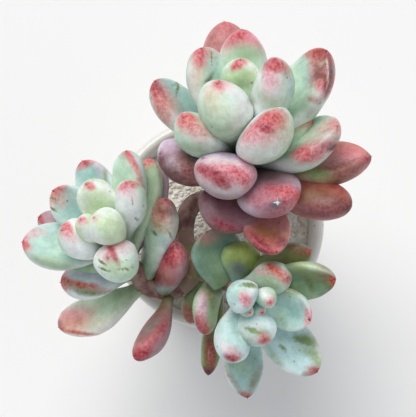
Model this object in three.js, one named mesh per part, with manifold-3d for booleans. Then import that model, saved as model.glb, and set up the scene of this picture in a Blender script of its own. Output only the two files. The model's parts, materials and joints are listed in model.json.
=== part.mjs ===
// A small potted graptopetalum with three rosettes of thick, bean-shaped leaves on one forked stem.
// Millimetres, +Z up. The origin is the centre of the pot's underside.
import * as THREE from "three";
import { mergeVertices } from "three/addons/utils/BufferGeometryUtils.js";
import Module from "manifold-3d";

const wasm = await Module();
wasm.setup();

// Pot: a plain tapered cup with three drain holes round a solid centre.
const POT_HEIGHT = 48;
const RIM_RADIUS = 23.5;
const BASE_RADIUS = 17.5;
const WALL = 2.6;
const FLOOR = 3.5;
const LIP = 0.9;
const POT_SEGMENTS = 48;
const DRAIN_RADIUS = 2;
const DRAIN_CIRCLE = 9;
const DRAIN_COUNT = 3;

// Potting mix: fills the pot to a little under the rim, with a grainy top.
const GAP = 0.3;
const MIX_TOP = 44;
const MIX_GRAIN = 0.35;
const MIX_RINGS = 8;
const MIX_SEGMENTS = 32;

// Stem: stands in a round hole in the mix and forks into three short stubs.
const STEM_RADIUS = 2.8;
const STEM_FOOT = new THREE.Vector3(-3, -6, 34);
const STEM_PATH = [[-3, -6, 34], [-3, -6, 44], [-3, -6.2, 46.6], [-3.5, -8.2, 51.4], [-4.5, -11.4, 57]];
const KNOB_RADIUS = 2.9;
const FORK = [-4.5, -11.4, 57];
const STUB = 4.4;
const STUB_GAP = 0.7;
const TIP_RADIUS = 1.5;
const FORK_RADIUS = 2.4;
const STEM_SIDES = 12;
const TANGENT_STEP = 1.2;

// Leaf: each new leaf turns by the golden angle from the one before it.
const GOLDEN = 137.5;
const LEAF_SIDES = 9;
const LEAF_RINGS = [0, 0.2, 0.42, 0.62, 0.79, 0.91, 0.97];
const LEAF_STEPS = 60;
const ROOT_OFFSET = 0.8;
const NECK = 0.34;
const NECK_THICK = 0.45;
const FULL = 0.62;
const UPPER = 0.38;
const LOWER = 0.62;
const FACET_ALLOWANCE = 1.04;

// A row is age, nudge, lean, drop, length, width, thickness, curl, roll, sway.
// Angles are in degrees. Drop is how far down the stem from its tip the leaf starts.
const LARGE = {
  axis: [-0.095, 0.637, 0.765],
  first: 270,
  spiral: -1,
  path: [
    [4.4, 12.3, 75.4], [5.1, 8.3, 68.1], [4.9, 5.1, 62], [0.3, 3.8, 57.7],
    [-4.8, 2.4, 55.9], [-6.7, -1.5, 55.8], [-6.6, -6.5, 56.4], FORK,
  ],
  leaves: [
    [-1, 18, 12, -1.2, 16, 9, 7, 15, 0, 0],
    [0, -25, 8, -0.8, 15.5, 11, 10, 25, 0, -1.5],
    [1, 4, 21, 0.4, 20.5, 10, 8, 20, 0, 0],
    [2, 3, 22, 0.6, 21, 10, 8, 25, 0, 0],
    [3, -8, 41, 2.6, 17, 9.6, 8, 25, 0, 0],
    [4, -2, 25, 3.0, 24, 10.4, 8, 25, 0, 0],
    [5, 4, 40, 2.2, 18, 13.5, 9, 25, 12, 0],
    [6, -7, 50, 3.4, 22, 9.5, 8, 25, 0, 0],
    [7, -10, 45, 4.0, 27, 14, 8, 25, 0, 0],
    [8, 5, 62, 5.0, 17.5, 12.6, 9, 25, -8, 0],
    [9, -18, 45, 5.5, 28, 10, 8, 25, 0, 0],
    [10, 7, 61, 6.0, 23, 14, 8, 20, 0, 0],
    [11, 2, 64, 7.0, 18, 13, 8, 20, 0, 0],
    [12, 0, 80, 6.5, 19, 10, 7, 20, 0, 0],
    [13, 12, 76, 8.5, 20, 12.5, 7.5, 20, 6, 0],
    [14, 0, 85, 8.0, 15, 10, 7, 20, 0, 0],
    [15, -19, 81, 8.5, 26.5, 11.5, 8, 10, 0, 0],
    [16, 23, 93, 10.5, 16, 12.5, 8, 10, -20, 0],
    [17, 0, 85, 9.5, 21, 10, 7, 15, 0, 0],
    [18, 12, 91, 9.5, 25, 10, 8, 10, 0, 0],
    [20, 0, 100, 11.0, 19, 9, 6.5, 10, 0, 0],
    [21, 24, 102, 10.5, 21.5, 9.5, 7, 0, 0, 0],
    [10, 23, 53, 6.5, 19, 8, 6, 20, 0, 0],
  ],
};

const LEFT = {
  axis: [-0.449, 0.255, 0.856],
  first: 346,
  spiral: -1,
  path: [
    [-20, -7.4, 72], [-18.6, -9.5, 67], [-17.1, -12, 61.5], [-14.7, -15.1, 57.4],
    [-10.6, -16.1, 55.7], [-6.8, -14.3, 56], FORK,
  ],
  leaves: [
    [-1, 68, 6, -0.4, 11, 5, 5, 15, 0, 0],
    [0, -21, 4, -0.8, 11, 7.2, 7, 20, 0, 0],
    [1, -28, 24, 4.2, 14.5, 8.2, 7.5, 25, 0, 0],
    [2, 24, 28, 0.8, 14, 8.4, 7, 25, 0, 0],
    [3, -4, 33, 4.0, 12, 8.8, 8.5, 20, 0, 0],
    [4, -20, 52, 2.8, 17.5, 9, 8, 25, 0, 0],
    [5, 16, 37, 2.0, 16, 6.6, 6.5, 20, 0, 0],
    [6, -54, 68, 13, 15.5, 8.5, 7.8, 15, 0, 0],
    [7, 3, 62, 4.8, 20, 9, 7.5, 20, 0, 0],
    [9, -14, 64, 4.4, 20.5, 10, 8, 20, 0, 0],
    [10, 16, 56, 3.6, 19.5, 7.4, 7.5, 20, 0, 0],
    [12, 18, 66, 5.5, 19.5, 8, 7, 20, 0, 0],
    [13, 46, 53, 16, 19.5, 7.4, 6.5, 15, 0, 0],
    [14, -17, 94, 17, 21.5, 9.4, 6.5, 0, 0, -4],
    [15, 0, 80, 7.5, 18, 8.5, 7, 15, 0, 0],
    [16, -34, 67, 22.8, 18, 6.2, 5.5, 0, 0, -4],
    [17, 0, 85, 8.5, 15, 8, 6.5, 10, 0, 0],
    [18, 35, 72, 8, 20.5, 7, 6.5, 15, 0, 0],
    [23, 4, 85, 8.5, 20.5, 6.5, 6, 15, 0, 0],
    [13, 30, 49, 20, 11.5, 7.2, 5.6, 15, 0, 0],
  ],
};

const SMALL = {
  axis: [0.3, -0.406, 0.863],
  first: 141,
  spiral: 1,
  path: [[6, -19, 69.9], [4.3, -16.9, 65.2], [2.3, -14.8, 60.5], [-1, -12.7, 57.3], FORK],
  leaves: [
    [-3, 220, 10, 0.0, 6.5, 3, 3, 10, 0, 0],
    [-2, -20, 10, -0.4, 7, 2.8, 2.8, 10, 0, 0],
    [-1, 32, 11, -0.6, 8.5, 4, 4, 20, 0, 0],
    [0, 0, 22, -0.8, 9.5, 7, 6, 20, 0, 0],
    [1, -2, 28, 1.0, 11.6, 7.8, 6, 25, 0, 0],
    [2, -26, 41, 6, 12.5, 7.0, 6.5, 25, 0, 0],
    [3, 23, 51, 13, 12.5, 5.6, 5, 15, 0, 3],
    [4, 10, 48, 3.0, 15, 8.5, 6, 25, 0, 0],
    [5, 6, 96, 8.0, 12.5, 10, 5.5, 10, 0, 0],
    [6, -10, 46, 2.2, 15, 7.4, 6.5, 25, 0, 1],
    [7, -8, 52, 5.2, 20.5, 8.2, 6.5, 15, 0, 0],
    [9, 12, 64, 4.6, 22.5, 10.3, 6, 15, 0, 0],
    [10, 0, 100, 6.5, 10.5, 8.5, 5.5, 10, 0, 0],
    [11, 45, 81, 13, 20, 4.6, 4.5, 10, 0, 0],
    [12, 0, 90, 7.0, 15, 7.5, 5.5, 10, 0, 0],
    [14, 7, 82, 5.5, 22.5, 8.6, 5.5, 10, 0, 0],
    [15, -13, 63, 9.0, 17.8, 6.8, 6, 10, 0, 0],
  ],
};

// One old leaf grows straight from the fork, on the small rosette's side.
const FORK_LEAF = [11, 46, 100, 18, 12, 6, 5, 10, 0, 0];

const radians = THREE.MathUtils.degToRad;
const clamp = THREE.MathUtils.clamp;

// Smooth curve through the points, as a list of closely spaced points.
function smoothPath(points, steps = 16) {
  const knots = points.map((point) => new THREE.Vector3(...point));
  const last = knots.length - 1;
  const out = [];
  for (let i = 0; i < last; i += 1) {
    const p0 = knots[Math.max(i - 1, 0)];
    const p1 = knots[i];
    const p2 = knots[i + 1];
    const p3 = knots[Math.min(i + 2, last)];
    for (let k = 0; k < steps; k += 1) {
      const u = k / steps;
      const point = new THREE.Vector3();
      point.addScaledVector(p0, 0.5 * (-u + 2 * u * u - u * u * u));
      point.addScaledVector(p1, 0.5 * (2 - 5 * u * u + 3 * u * u * u));
      point.addScaledVector(p2, 0.5 * (u + 4 * u * u - 3 * u * u * u));
      point.addScaledVector(p3, 0.5 * (-u * u + u * u * u));
      out.push(point);
    }
  }
  out.push(knots[last].clone());
  return out;
}

function pathLength(path) {
  let total = 0;
  for (let i = 1; i < path.length; i += 1) {
    total += path[i].distanceTo(path[i - 1]);
  }
  return total;
}

// Point at a distance from the path's first point. Below zero it lies beyond that end.
function pointAt(path, distance) {
  if (distance <= 0) {
    const outward = path[0].clone().sub(path[1]).normalize();
    return path[0].clone().addScaledVector(outward, -distance);
  }
  let left = distance;
  for (let i = 1; i < path.length; i += 1) {
    const step = path[i].distanceTo(path[i - 1]);
    if (left <= step) {
      return path[i - 1].clone().lerp(path[i], left / step);
    }
    left -= step;
  }
  return path[path.length - 1].clone();
}

// Closed skin over rings of equal size, with a flat or pointed end at each side.
function loft(rings, startPoint, endPoint) {
  const sides = rings[0].length;
  const points = rings.flat();
  const triangles = [];
  for (let r = 0; r < rings.length - 1; r += 1) {
    for (let s = 0; s < sides; s += 1) {
      const a = r * sides + s;
      const b = r * sides + ((s + 1) % sides);
      triangles.push(a, b, b + sides, a, b + sides, a + sides);
    }
  }
  const start = points.length;
  points.push(startPoint);
  const end = points.length;
  points.push(endPoint);
  const top = (rings.length - 1) * sides;
  for (let s = 0; s < sides; s += 1) {
    const next = (s + 1) % sides;
    triangles.push(start, next, s);
    triangles.push(end, top + s, top + next);
  }
  const geometry = new THREE.BufferGeometry().setFromPoints(points);
  geometry.setIndex(triangles);
  return geometry;
}

function toSolid(geometry) {
  geometry.deleteAttribute("normal");
  geometry.deleteAttribute("uv");
  const merged = mergeVertices(geometry, 1e-4);
  const corners = Array.from(merged.index.array);
  const kept = [];
  for (let i = 0; i < corners.length; i += 3) {
    const [a, b, c] = corners.slice(i, i + 3);
    if (a !== b && b !== c && c !== a) {
      kept.push(a, b, c);
    }
  }
  return new wasm.Manifold(new wasm.Mesh({
    numProp: 3,
    vertProperties: new Float32Array(merged.attributes.position.array),
    triVerts: new Uint32Array(kept),
  }));
}

function toGeometry(solid) {
  const mesh = solid.getMesh();
  const geometry = new THREE.BufferGeometry();
  geometry.setAttribute("position", new THREE.BufferAttribute(new Float32Array(mesh.vertProperties), 3));
  geometry.setIndex(new THREE.BufferAttribute(new Uint32Array(mesh.triVerts), 1));
  geometry.computeVertexNormals();
  return geometry;
}

function join(solids) {
  return solids.reduce((whole, solid) => whole.add(solid));
}

// Keeps the outer skin only, so that no sealed hollow stays among the roots of the leaves.
function outerSkin(solid) {
  const shells = solid.decompose();
  return shells.reduce((best, shell) => (shell.volume() > best.volume() ? shell : best));
}

// Round tube along the path between two distances, with its radius given along the way.
function tube(path, from, to, steps, radiusAt) {
  const rings = [];
  const across = new THREE.Vector3();
  let start = null;
  let end = null;
  for (let i = 0; i <= steps; i += 1) {
    const distance = from + ((to - from) * i) / steps;
    const centre = pointAt(path, distance);
    const ahead = pointAt(path, distance + TANGENT_STEP);
    const behind = pointAt(path, distance - TANGENT_STEP);
    const along = ahead.sub(behind).normalize();
    if (i === 0) {
      across.set(0, 0, 1);
      if (Math.abs(along.z) > 0.9) {
        across.set(0, 1, 0);
      }
    }
    across.addScaledVector(along, -across.dot(along)).normalize();
    const side = along.clone().cross(across);
    const radius = radiusAt(distance);
    const ring = [];
    for (let s = 0; s < STEM_SIDES; s += 1) {
      const angle = (2 * Math.PI * s) / STEM_SIDES;
      const point = centre.clone();
      point.addScaledVector(across, radius * Math.cos(angle));
      point.addScaledVector(side, radius * Math.sin(angle));
      ring.push(point);
    }
    rings.push(ring);
    if (i === 0) {
      start = centre;
    }
    end = centre;
  }
  return loft(rings, start, end);
}

// Grows from the neck to full at a share of the length, then closes round to the tip.
function outline(t, neck, full, point) {
  const rise = clamp(t / full, 0, 1);
  const grow = neck + (1 - neck) * rise * rise * (3 - 2 * rise);
  const fall = clamp((t - full) / (1 - full), 0, 1);
  return grow * (1 - fall ** 2.2) ** point;
}

// Thick spoon-shaped leaf, flatter on the face towards the rosette's heart.
function leafSolid(head, path, row) {
  const [age, nudge, lean, drop, length, width, thickness, curl, roll, sway] = row;
  const axis = new THREE.Vector3(...head.axis).normalize();
  const first = new THREE.Vector3(1, 0, 0).addScaledVector(axis, -axis.x).normalize();
  const second = axis.clone().cross(first);
  const turn = radians(head.first + head.spiral * GOLDEN * age + nudge);
  const outward = first.clone().multiplyScalar(Math.cos(turn));
  outward.addScaledVector(second, Math.sin(turn));
  const sideways = first.clone().multiplyScalar(-Math.sin(turn));
  sideways.addScaledVector(second, Math.cos(turn));
  const heading = (t) => radians(lean) + radians(curl) * (0.5 - t);
  const direction = (t) => axis.clone().multiplyScalar(Math.cos(heading(t)))
    .addScaledVector(outward, Math.sin(heading(t)));
  const face = (t) => axis.clone().multiplyScalar(Math.sin(heading(t)))
    .addScaledVector(outward, -Math.cos(heading(t)));

  const root = pointAt(path, drop).addScaledVector(outward, ROOT_OFFSET);
  const spine = [root.clone()];
  for (let i = 0; i < LEAF_STEPS; i += 1) {
    const next = spine[i].clone();
    next.addScaledVector(direction((i + 0.5) / LEAF_STEPS), length / LEAF_STEPS);
    spine.push(next);
  }
  const middle = (t) => {
    const place = t * LEAF_STEPS;
    const low = Math.min(Math.floor(place), LEAF_STEPS - 1);
    const point = spine[low].clone().lerp(spine[low + 1], place - low);
    return point.addScaledVector(sideways, sway * t * t);
  };

  const rings = LEAF_RINGS.map((t) => {
    const across = sideways.clone().multiplyScalar(Math.cos(radians(roll)));
    across.addScaledVector(face(t), Math.sin(radians(roll)));
    const up = face(t).multiplyScalar(Math.cos(radians(roll)));
    up.addScaledVector(sideways, -Math.sin(radians(roll)));
    const halfWidth = (FACET_ALLOWANCE * width * outline(t, NECK, FULL, 0.58)) / 2;
    const deep = FACET_ALLOWANCE * thickness * outline(t, NECK_THICK, FULL * 0.95, 0.55);
    const ring = [];
    for (let s = 0; s < LEAF_SIDES; s += 1) {
      const angle = (2 * Math.PI * s) / LEAF_SIDES;
      const sine = Math.sin(angle);
      const height = sine > 0 ? UPPER * sine : -LOWER * Math.abs(sine) ** 1.1;
      const point = middle(t);
      point.addScaledVector(across, halfWidth * Math.cos(angle));
      point.addScaledVector(up, deep * height);
      ring.push(point);
    }
    return ring;
  });
  return toSolid(loft(rings, middle(0), middle(1)));
}

// Stem radius at a share of the way from the rosette's tip to the fork.
function stemRadius(share) {
  return TIP_RADIUS + (FORK_RADIUS - TIP_RADIUS) * share;
}

// Rosette: its own stretch of stem and every leaf, grown into one body.
function headSolid(head) {
  const path = smoothPath(head.path);
  const total = pathLength(path);
  const radiusAt = (distance) => stemRadius(distance / total);
  const stem = toSolid(tube(path, 0, total - STUB - STUB_GAP, 22, radiusAt));
  const leaves = head.leaves.map((row) => leafSolid(head, path, row));
  return outerSkin(join([stem, ...leaves]));
}

// Short start of a rosette's stem, which stays on the main stem.
function stubSolid(head) {
  const path = smoothPath(head.path);
  const total = pathLength(path);
  return toSolid(tube(path, total - STUB, total, 6, (distance) => stemRadius(distance / total)));
}

function stemSolid() {
  const path = smoothPath(STEM_PATH);
  const total = pathLength(path);
  const trunk = toSolid(tube(path, 0, total, 16, () => STEM_RADIUS));
  const knobGeometry = new THREE.SphereGeometry(KNOB_RADIUS, 16, 10);
  knobGeometry.translate(...FORK);
  const knob = toSolid(knobGeometry);
  const leaf = leafSolid(SMALL, smoothPath(SMALL.path), FORK_LEAF);
  return outerSkin(join([trunk, knob, stubSolid(LARGE), stubSolid(LEFT), stubSolid(SMALL), leaf]));
}

// Radius of the pot's outer wall at a height.
function potRadius(z) {
  return BASE_RADIUS + ((RIM_RADIUS - BASE_RADIUS) * z) / POT_HEIGHT;
}

function potSolid() {
  const profile = [
    [0, 0], [BASE_RADIUS - LIP, 0], [potRadius(LIP), LIP],
    [potRadius(POT_HEIGHT - LIP), POT_HEIGHT - LIP], [RIM_RADIUS - LIP / 2, POT_HEIGHT],
    [RIM_RADIUS - WALL + LIP / 2, POT_HEIGHT], [RIM_RADIUS - WALL, POT_HEIGHT - LIP],
    [potRadius(FLOOR) - WALL, FLOOR], [0, FLOOR],
  ].map(([x, y]) => new THREE.Vector2(x, y));
  const cup = new THREE.LatheGeometry(profile, POT_SEGMENTS);
  cup.rotateX(Math.PI / 2);
  let pot = toSolid(cup);
  for (let i = 0; i < DRAIN_COUNT; i += 1) {
    const angle = (2 * Math.PI * (i + 0.25)) / DRAIN_COUNT;
    const drill = new THREE.CylinderGeometry(DRAIN_RADIUS, DRAIN_RADIUS, 3 * FLOOR, 20);
    drill.rotateX(Math.PI / 2);
    drill.translate(DRAIN_CIRCLE * Math.cos(angle), DRAIN_CIRCLE * Math.sin(angle), 0);
    pot = pot.subtract(toSolid(drill));
  }
  return pot;
}

// Height of the mix above its level, as overlapping ripples that read as grit.
function grain(x, y) {
  const coarse = Math.sin(1.9 * x + 0.8 * y + 0.4) * Math.sin(2.3 * y - 0.7 * x + 1.1);
  const fine = Math.sin(3.7 * x - 2.9 * y) * Math.cos(3.1 * y + 1.3 * x + 0.5);
  return MIX_GRAIN * (coarse + 0.6 * fine);
}

function mixSolid() {
  const bottom = FLOOR + GAP;
  const innerRadius = (z) => potRadius(z) - WALL - GAP;
  const rings = [];
  const ringAt = (radius, heightAt) => {
    const ring = [];
    for (let s = 0; s < MIX_SEGMENTS; s += 1) {
      const angle = (2 * Math.PI * s) / MIX_SEGMENTS;
      const x = radius * Math.cos(angle);
      const y = radius * Math.sin(angle);
      ring.push(new THREE.Vector3(x, y, heightAt(x, y)));
    }
    return ring;
  };
  rings.push(ringAt(innerRadius(bottom), () => bottom));
  rings.push(ringAt(innerRadius(MIX_TOP - 1), () => MIX_TOP - 1));
  for (let r = 0; r < MIX_RINGS; r += 1) {
    const radius = innerRadius(MIX_TOP - 1) * (1 - (r + 0.15) / MIX_RINGS);
    rings.push(ringAt(radius, (x, y) => MIX_TOP + grain(x, y)));
  }
  const body = toSolid(loft(rings, new THREE.Vector3(0, 0, bottom), new THREE.Vector3(0, 0, MIX_TOP)));
  const depth = MIX_TOP - STEM_FOOT.z + GAP;
  const hole = new THREE.CylinderGeometry(STEM_RADIUS + GAP, STEM_RADIUS + GAP, 2 * depth, 24);
  hole.rotateX(Math.PI / 2);
  hole.translate(STEM_FOOT.x, STEM_FOOT.y, MIX_TOP);
  return body.subtract(toSolid(hole));
}

function piece(name, solid, colour, roughness) {
  const material = new THREE.MeshStandardMaterial({ color: colour, roughness, metalness: 0 });
  const mesh = new THREE.Mesh(toGeometry(solid), material);
  mesh.name = name;
  return mesh;
}

const plant = new THREE.Group();
plant.add(piece("pot", potSolid(), 0xeeebe4, 0.45));
plant.add(piece("potting_mix", mixSolid(), 0xd9d2c2, 0.95));
plant.add(piece("main_stem", stemSolid(), 0x6e5648, 0.8));
plant.add(piece("large_head", headSolid(LARGE), 0xc9b4b0, 0.6));
plant.add(piece("left_head", headSolid(LEFT), 0xb9c9bb, 0.6));
plant.add(piece("small_head", headSolid(SMALL), 0xa9c4bf, 0.6));

export default plant;
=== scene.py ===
"""A small potted graptopetalum: smooth leaves, stems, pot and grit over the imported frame."""
import json
import logging
import math
from dataclasses import dataclass
from enum import Enum
from typing import Mapping, Optional, Sequence, Union

import bpy
import numpy as np
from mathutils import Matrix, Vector

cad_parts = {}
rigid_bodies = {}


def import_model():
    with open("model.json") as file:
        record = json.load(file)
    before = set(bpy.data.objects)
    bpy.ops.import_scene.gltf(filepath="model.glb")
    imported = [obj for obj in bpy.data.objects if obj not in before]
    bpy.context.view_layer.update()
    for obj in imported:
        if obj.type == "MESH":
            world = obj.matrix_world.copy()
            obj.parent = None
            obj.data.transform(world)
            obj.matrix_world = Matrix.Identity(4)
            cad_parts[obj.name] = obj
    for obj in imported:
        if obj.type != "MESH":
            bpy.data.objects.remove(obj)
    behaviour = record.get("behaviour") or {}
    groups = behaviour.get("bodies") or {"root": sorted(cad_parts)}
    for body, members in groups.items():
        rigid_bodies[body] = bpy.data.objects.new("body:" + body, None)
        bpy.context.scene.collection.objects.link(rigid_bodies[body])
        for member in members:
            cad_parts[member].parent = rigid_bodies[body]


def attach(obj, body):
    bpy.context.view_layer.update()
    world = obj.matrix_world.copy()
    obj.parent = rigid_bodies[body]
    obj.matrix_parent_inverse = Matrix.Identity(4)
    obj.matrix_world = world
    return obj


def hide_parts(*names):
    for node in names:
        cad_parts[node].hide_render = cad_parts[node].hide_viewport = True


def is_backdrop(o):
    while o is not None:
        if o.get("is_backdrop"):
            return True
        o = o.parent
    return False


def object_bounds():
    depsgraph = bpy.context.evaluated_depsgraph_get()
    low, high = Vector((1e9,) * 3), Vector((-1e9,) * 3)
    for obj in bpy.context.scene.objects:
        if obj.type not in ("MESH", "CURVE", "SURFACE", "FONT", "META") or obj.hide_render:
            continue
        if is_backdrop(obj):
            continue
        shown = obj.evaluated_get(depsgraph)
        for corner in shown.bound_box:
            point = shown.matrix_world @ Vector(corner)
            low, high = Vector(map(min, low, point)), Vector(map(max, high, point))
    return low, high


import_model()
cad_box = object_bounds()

log = logging.getLogger("plant")
MM = 0.001
GOLDEN = 137.5
SLIM = 0.97
STRAIGHT = 0.002
Number = Union[int, float]
Rgb = tuple[float, float, float]
Rgba = tuple[float, float, float, float]


def srgb(code: str) -> Rgb:
    """Turn a six-figure colour code into linear red, green and blue.

    Args:
        code: two hexadecimal figures for each channel.

    Returns:
        The colour as three linear numbers from 0 to 1.
    """
    parts = [int(code[i:i + 2], 16) / 255 for i in (0, 2, 4)]
    red, green, blue = (p / 12.92 if p <= 0.04045 else ((p + 0.055) / 1.055) ** 2.4 for p in parts)
    return red, green, blue


class Tone(Enum):
    """The colours that the leaves, stems, pot and grit are painted from."""

    BLOOM = "f5f8f6"
    MINT = "d0e8d3"
    BLUE_MINT = "b0cfc9"
    ICE = "c5e0df"
    TEAL = "84a79e"
    SAGE = "98b48e"
    YOUNG = "deedcf"
    FRESH = "a2b986"
    GREEN = "718768"
    DEEP = "5d7a64"
    LIME = "9bab66"
    OLIVE = "7b8150"
    DARK_OLIVE = "565f33"
    MOSS = "7d9560"
    PEACH = "ecd3bb"
    PINK = "f0a5b2"
    ROSE = "d6626a"
    RED = "c84a3e"
    CRIMSON = "a23642"
    MAROON = "602832"
    SALMON = "e29a90"
    TERRACOTTA = "a8685e"
    DUSTY = "c08482"
    LAVENDER = "cfb8cc"
    LILAC = "a8848c"
    PLUM = "7c4f5a"
    SLATE = "565d6b"
    TAN = "bd9164"
    BROWN = "8a5344"
    STEM_MAROON = "6b4342"
    STEM_MAUVE = "9c7c72"
    STEM_OLIVE = "85805a"

    @property
    def linear(self) -> Rgb:
        """The colour in linear light."""
        return srgb(self.value)

    @property
    def rgba(self) -> Rgba:
        """The colour in linear light, with full cover."""
        return (*self.linear, 1.0)


@dataclass(frozen=True)
class Skin:
    """How one kind of leaf is coloured before its own marks.

    Args:
        inner: colour of the face towards the heart of the rosette.
        outer: colour of the face away from it.
        root: colour near the stem, also laid on as painted shade towards the root and on the outer
            face.
        rim: powdery colour along the two edges.
        blush: colour round the tip.
        reach: how far the blush spreads from the tip, in mm.
        strength: how strong the blush is, from 0 to 1.
        bloom: how much pale powder lies on the leaf, from 0 to 1.
    """

    inner: Tone
    outer: Tone
    root: Tone
    rim: Tone
    blush: Tone
    reach: float
    strength: float
    bloom: float


class Skins(Enum):
    """The kinds of leaf on the plant."""

    HEART = Skin(Tone.YOUNG, Tone.YOUNG, Tone.FRESH, Tone.BLOOM, Tone.PINK, 1.2, 0.7, 0.5)
    MINT = Skin(Tone.MINT, Tone.MINT, Tone.SAGE, Tone.BLOOM, Tone.ROSE, 1.6, 0.7, 0.55)
    BLUE = Skin(Tone.BLUE_MINT, Tone.MINT, Tone.TEAL, Tone.BLOOM, Tone.ROSE, 1.4, 0.75, 0.5)
    ICE = Skin(Tone.ICE, Tone.ICE, Tone.TEAL, Tone.BLOOM, Tone.ROSE, 1.4, 0.7, 0.6)
    ROSY = Skin(Tone.MINT, Tone.MINT, Tone.GREEN, Tone.BLOOM, Tone.ROSE, 3.6, 0.65, 0.5)
    LAVENDER = Skin(Tone.LAVENDER, Tone.LILAC, Tone.PLUM, Tone.BLOOM, Tone.PLUM, 0.9, 0.7, 0.45)
    MAUVE = Skin(Tone.LILAC, Tone.LILAC, Tone.PLUM, Tone.LAVENDER, Tone.ROSE, 2.0, 0.5, 0.35)
    TERRACOTTA = Skin(Tone.TERRACOTTA, Tone.DUSTY, Tone.OLIVE, Tone.DUSTY, Tone.BROWN,
                      2.4, 0.6, 0.2)
    DUSTY = Skin(Tone.DUSTY, Tone.DUSTY, Tone.SAGE, Tone.SALMON, Tone.ROSE, 2.4, 0.5, 0.35)
    PLUM = Skin(Tone.PLUM, Tone.PLUM, Tone.OLIVE, Tone.LILAC, Tone.CRIMSON, 1.4, 0.6, 0.2)
    SAGE = Skin(Tone.SAGE, Tone.SAGE, Tone.YOUNG, Tone.YOUNG, Tone.ROSE, 2.0, 0.6, 0.35)
    CRIMSON = Skin(Tone.DUSTY, Tone.LILAC, Tone.OLIVE, Tone.LILAC, Tone.CRIMSON, 2.4, 0.5, 0.25)
    OLIVE = Skin(Tone.OLIVE, Tone.GREEN, Tone.OLIVE, Tone.SAGE, Tone.MAROON, 1.8, 0.7, 0.15)
    FOREST = Skin(Tone.GREEN, Tone.GREEN, Tone.DEEP, Tone.MINT, Tone.CRIMSON, 1.2, 0.8, 0.3)
    LIME = Skin(Tone.LIME, Tone.SAGE, Tone.TEAL, Tone.SAGE, Tone.LIME, 1.0, 0.1, 0.2)
    SLATE = Skin(Tone.DEEP, Tone.GREEN, Tone.SAGE, Tone.TEAL, Tone.DUSTY, 1.6, 0.5, 0.25)
    RED = Skin(Tone.SAGE, Tone.MINT, Tone.DEEP, Tone.MINT, Tone.RED, 3.4, 1.0, 0.1)
    PALE = Skin(Tone.BLOOM, Tone.MINT, Tone.SAGE, Tone.BLOOM, Tone.ROSE, 1.4, 0.6, 0.5)


@dataclass(frozen=True)
class Leaf:
    """One leaf by its rule: age in the spiral, place on the stem, size and bend.

    Args:
        name: short name, also used by the marks.
        skin: kind of colouring.
        age: place in the golden-angle spiral, the youngest first.
        nudge: small turn away from the spiral, in degrees.
        lean: angle away from the rosette's axis, in degrees.
        drop: distance of the root below the stem's tip, in mm.
        length: length in mm.
        width: width in mm.
        thick: thickness in mm.
        curl: how far the tip bends back to the axis, in degrees.
        roll: turn about the leaf's own length, in degrees.
        sway: sideways bend at the tip, in mm.
        hollow: how far the inner face is scooped, from 0 to 1.
        neck: width at the root as a share of the full width.
        tip: how the end closes, where 0.5 is round and 1 is pointed.
    """

    name: str
    skin: Skins
    age: int
    nudge: float
    lean: float
    drop: float
    length: float
    width: float
    thick: float
    curl: float = 0
    roll: float = 0
    sway: float = 0
    hollow: float = 0
    neck: float = 0.34
    tip: float = 0.58


class Layer(Enum):
    """The painted layers of a leaf: its skin, the mottled blush and the ragged scuffs; skin and blush
    carry painted shade towards the root.
    """

    PAINT = "paint"
    BLUSH = "blush"
    SCUFF = "scuff"


@dataclass(frozen=True)
class Mark:
    """A spot, streak or scuff on one leaf, drawn as a stroke over the photograph.

    Args:
        from_x: pixel of the photograph, from the left, where the stroke starts.
        from_y: pixel from the top where it starts.
        to_x: pixel from the left where it ends.
        to_y: pixel from the top where it ends.
        half: half of its width, in pixels.
        tone: colour.
        strength: how strong it is, from 0 to 1.
    """

    from_x: float
    from_y: float
    to_x: float
    to_y: float
    half: float
    tone: Tone
    strength: float


@dataclass(frozen=True)
class Marks:
    """The marks of one leaf, each kind in the order that it is laid on.

    Args:
        soft: marks worked into the skin.
        mottled: marks with mottled edges.
        ragged: marks with ragged edges, like scuffs.
    """

    soft: tuple[Mark, ...] = ()
    mottled: tuple[Mark, ...] = ()
    ragged: tuple[Mark, ...] = ()


# NODE SHEETS


class Term:
    """One socket of a node tree, which can be added, multiplied and so on."""

    def __init__(self, sheet: "Sheet", socket: bpy.types.NodeSocket, vector: bool = False) -> None:
        """Keep the socket and whether it carries a vector."""
        self.sheet = sheet
        self.socket = socket
        self.vector = vector

    def __add__(self, other: "Value") -> "Term":
        """Sum of the two."""
        return self.sheet.maths("ADD", self, other)

    def __radd__(self, other: "Value") -> "Term":
        """Sum of the two."""
        return self.sheet.maths("ADD", other, self)

    def __sub__(self, other: "Value") -> "Term":
        """The first less the second."""
        return self.sheet.maths("SUBTRACT", self, other)

    def __rsub__(self, other: "Value") -> "Term":
        """The first less the second."""
        return self.sheet.maths("SUBTRACT", other, self)

    def __mul__(self, other: "Value") -> "Term":
        """Product, or a vector scaled by a number."""
        if self.vector or (isinstance(other, Term) and other.vector):
            return self.sheet.scaled(self, other)
        return self.sheet.maths("MULTIPLY", self, other)

    def __rmul__(self, other: "Value") -> "Term":
        """Product, or a vector scaled by a number."""
        return self * other

    def __truediv__(self, other: "Value") -> "Term":
        """The first divided by the second."""
        return self.sheet.maths("DIVIDE", self, other)

    def __pow__(self, other: "Value") -> "Term":
        """The first to the power of the second."""
        return self.sheet.maths("POWER", self, other)


Value = Union[Term, Number]


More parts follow.
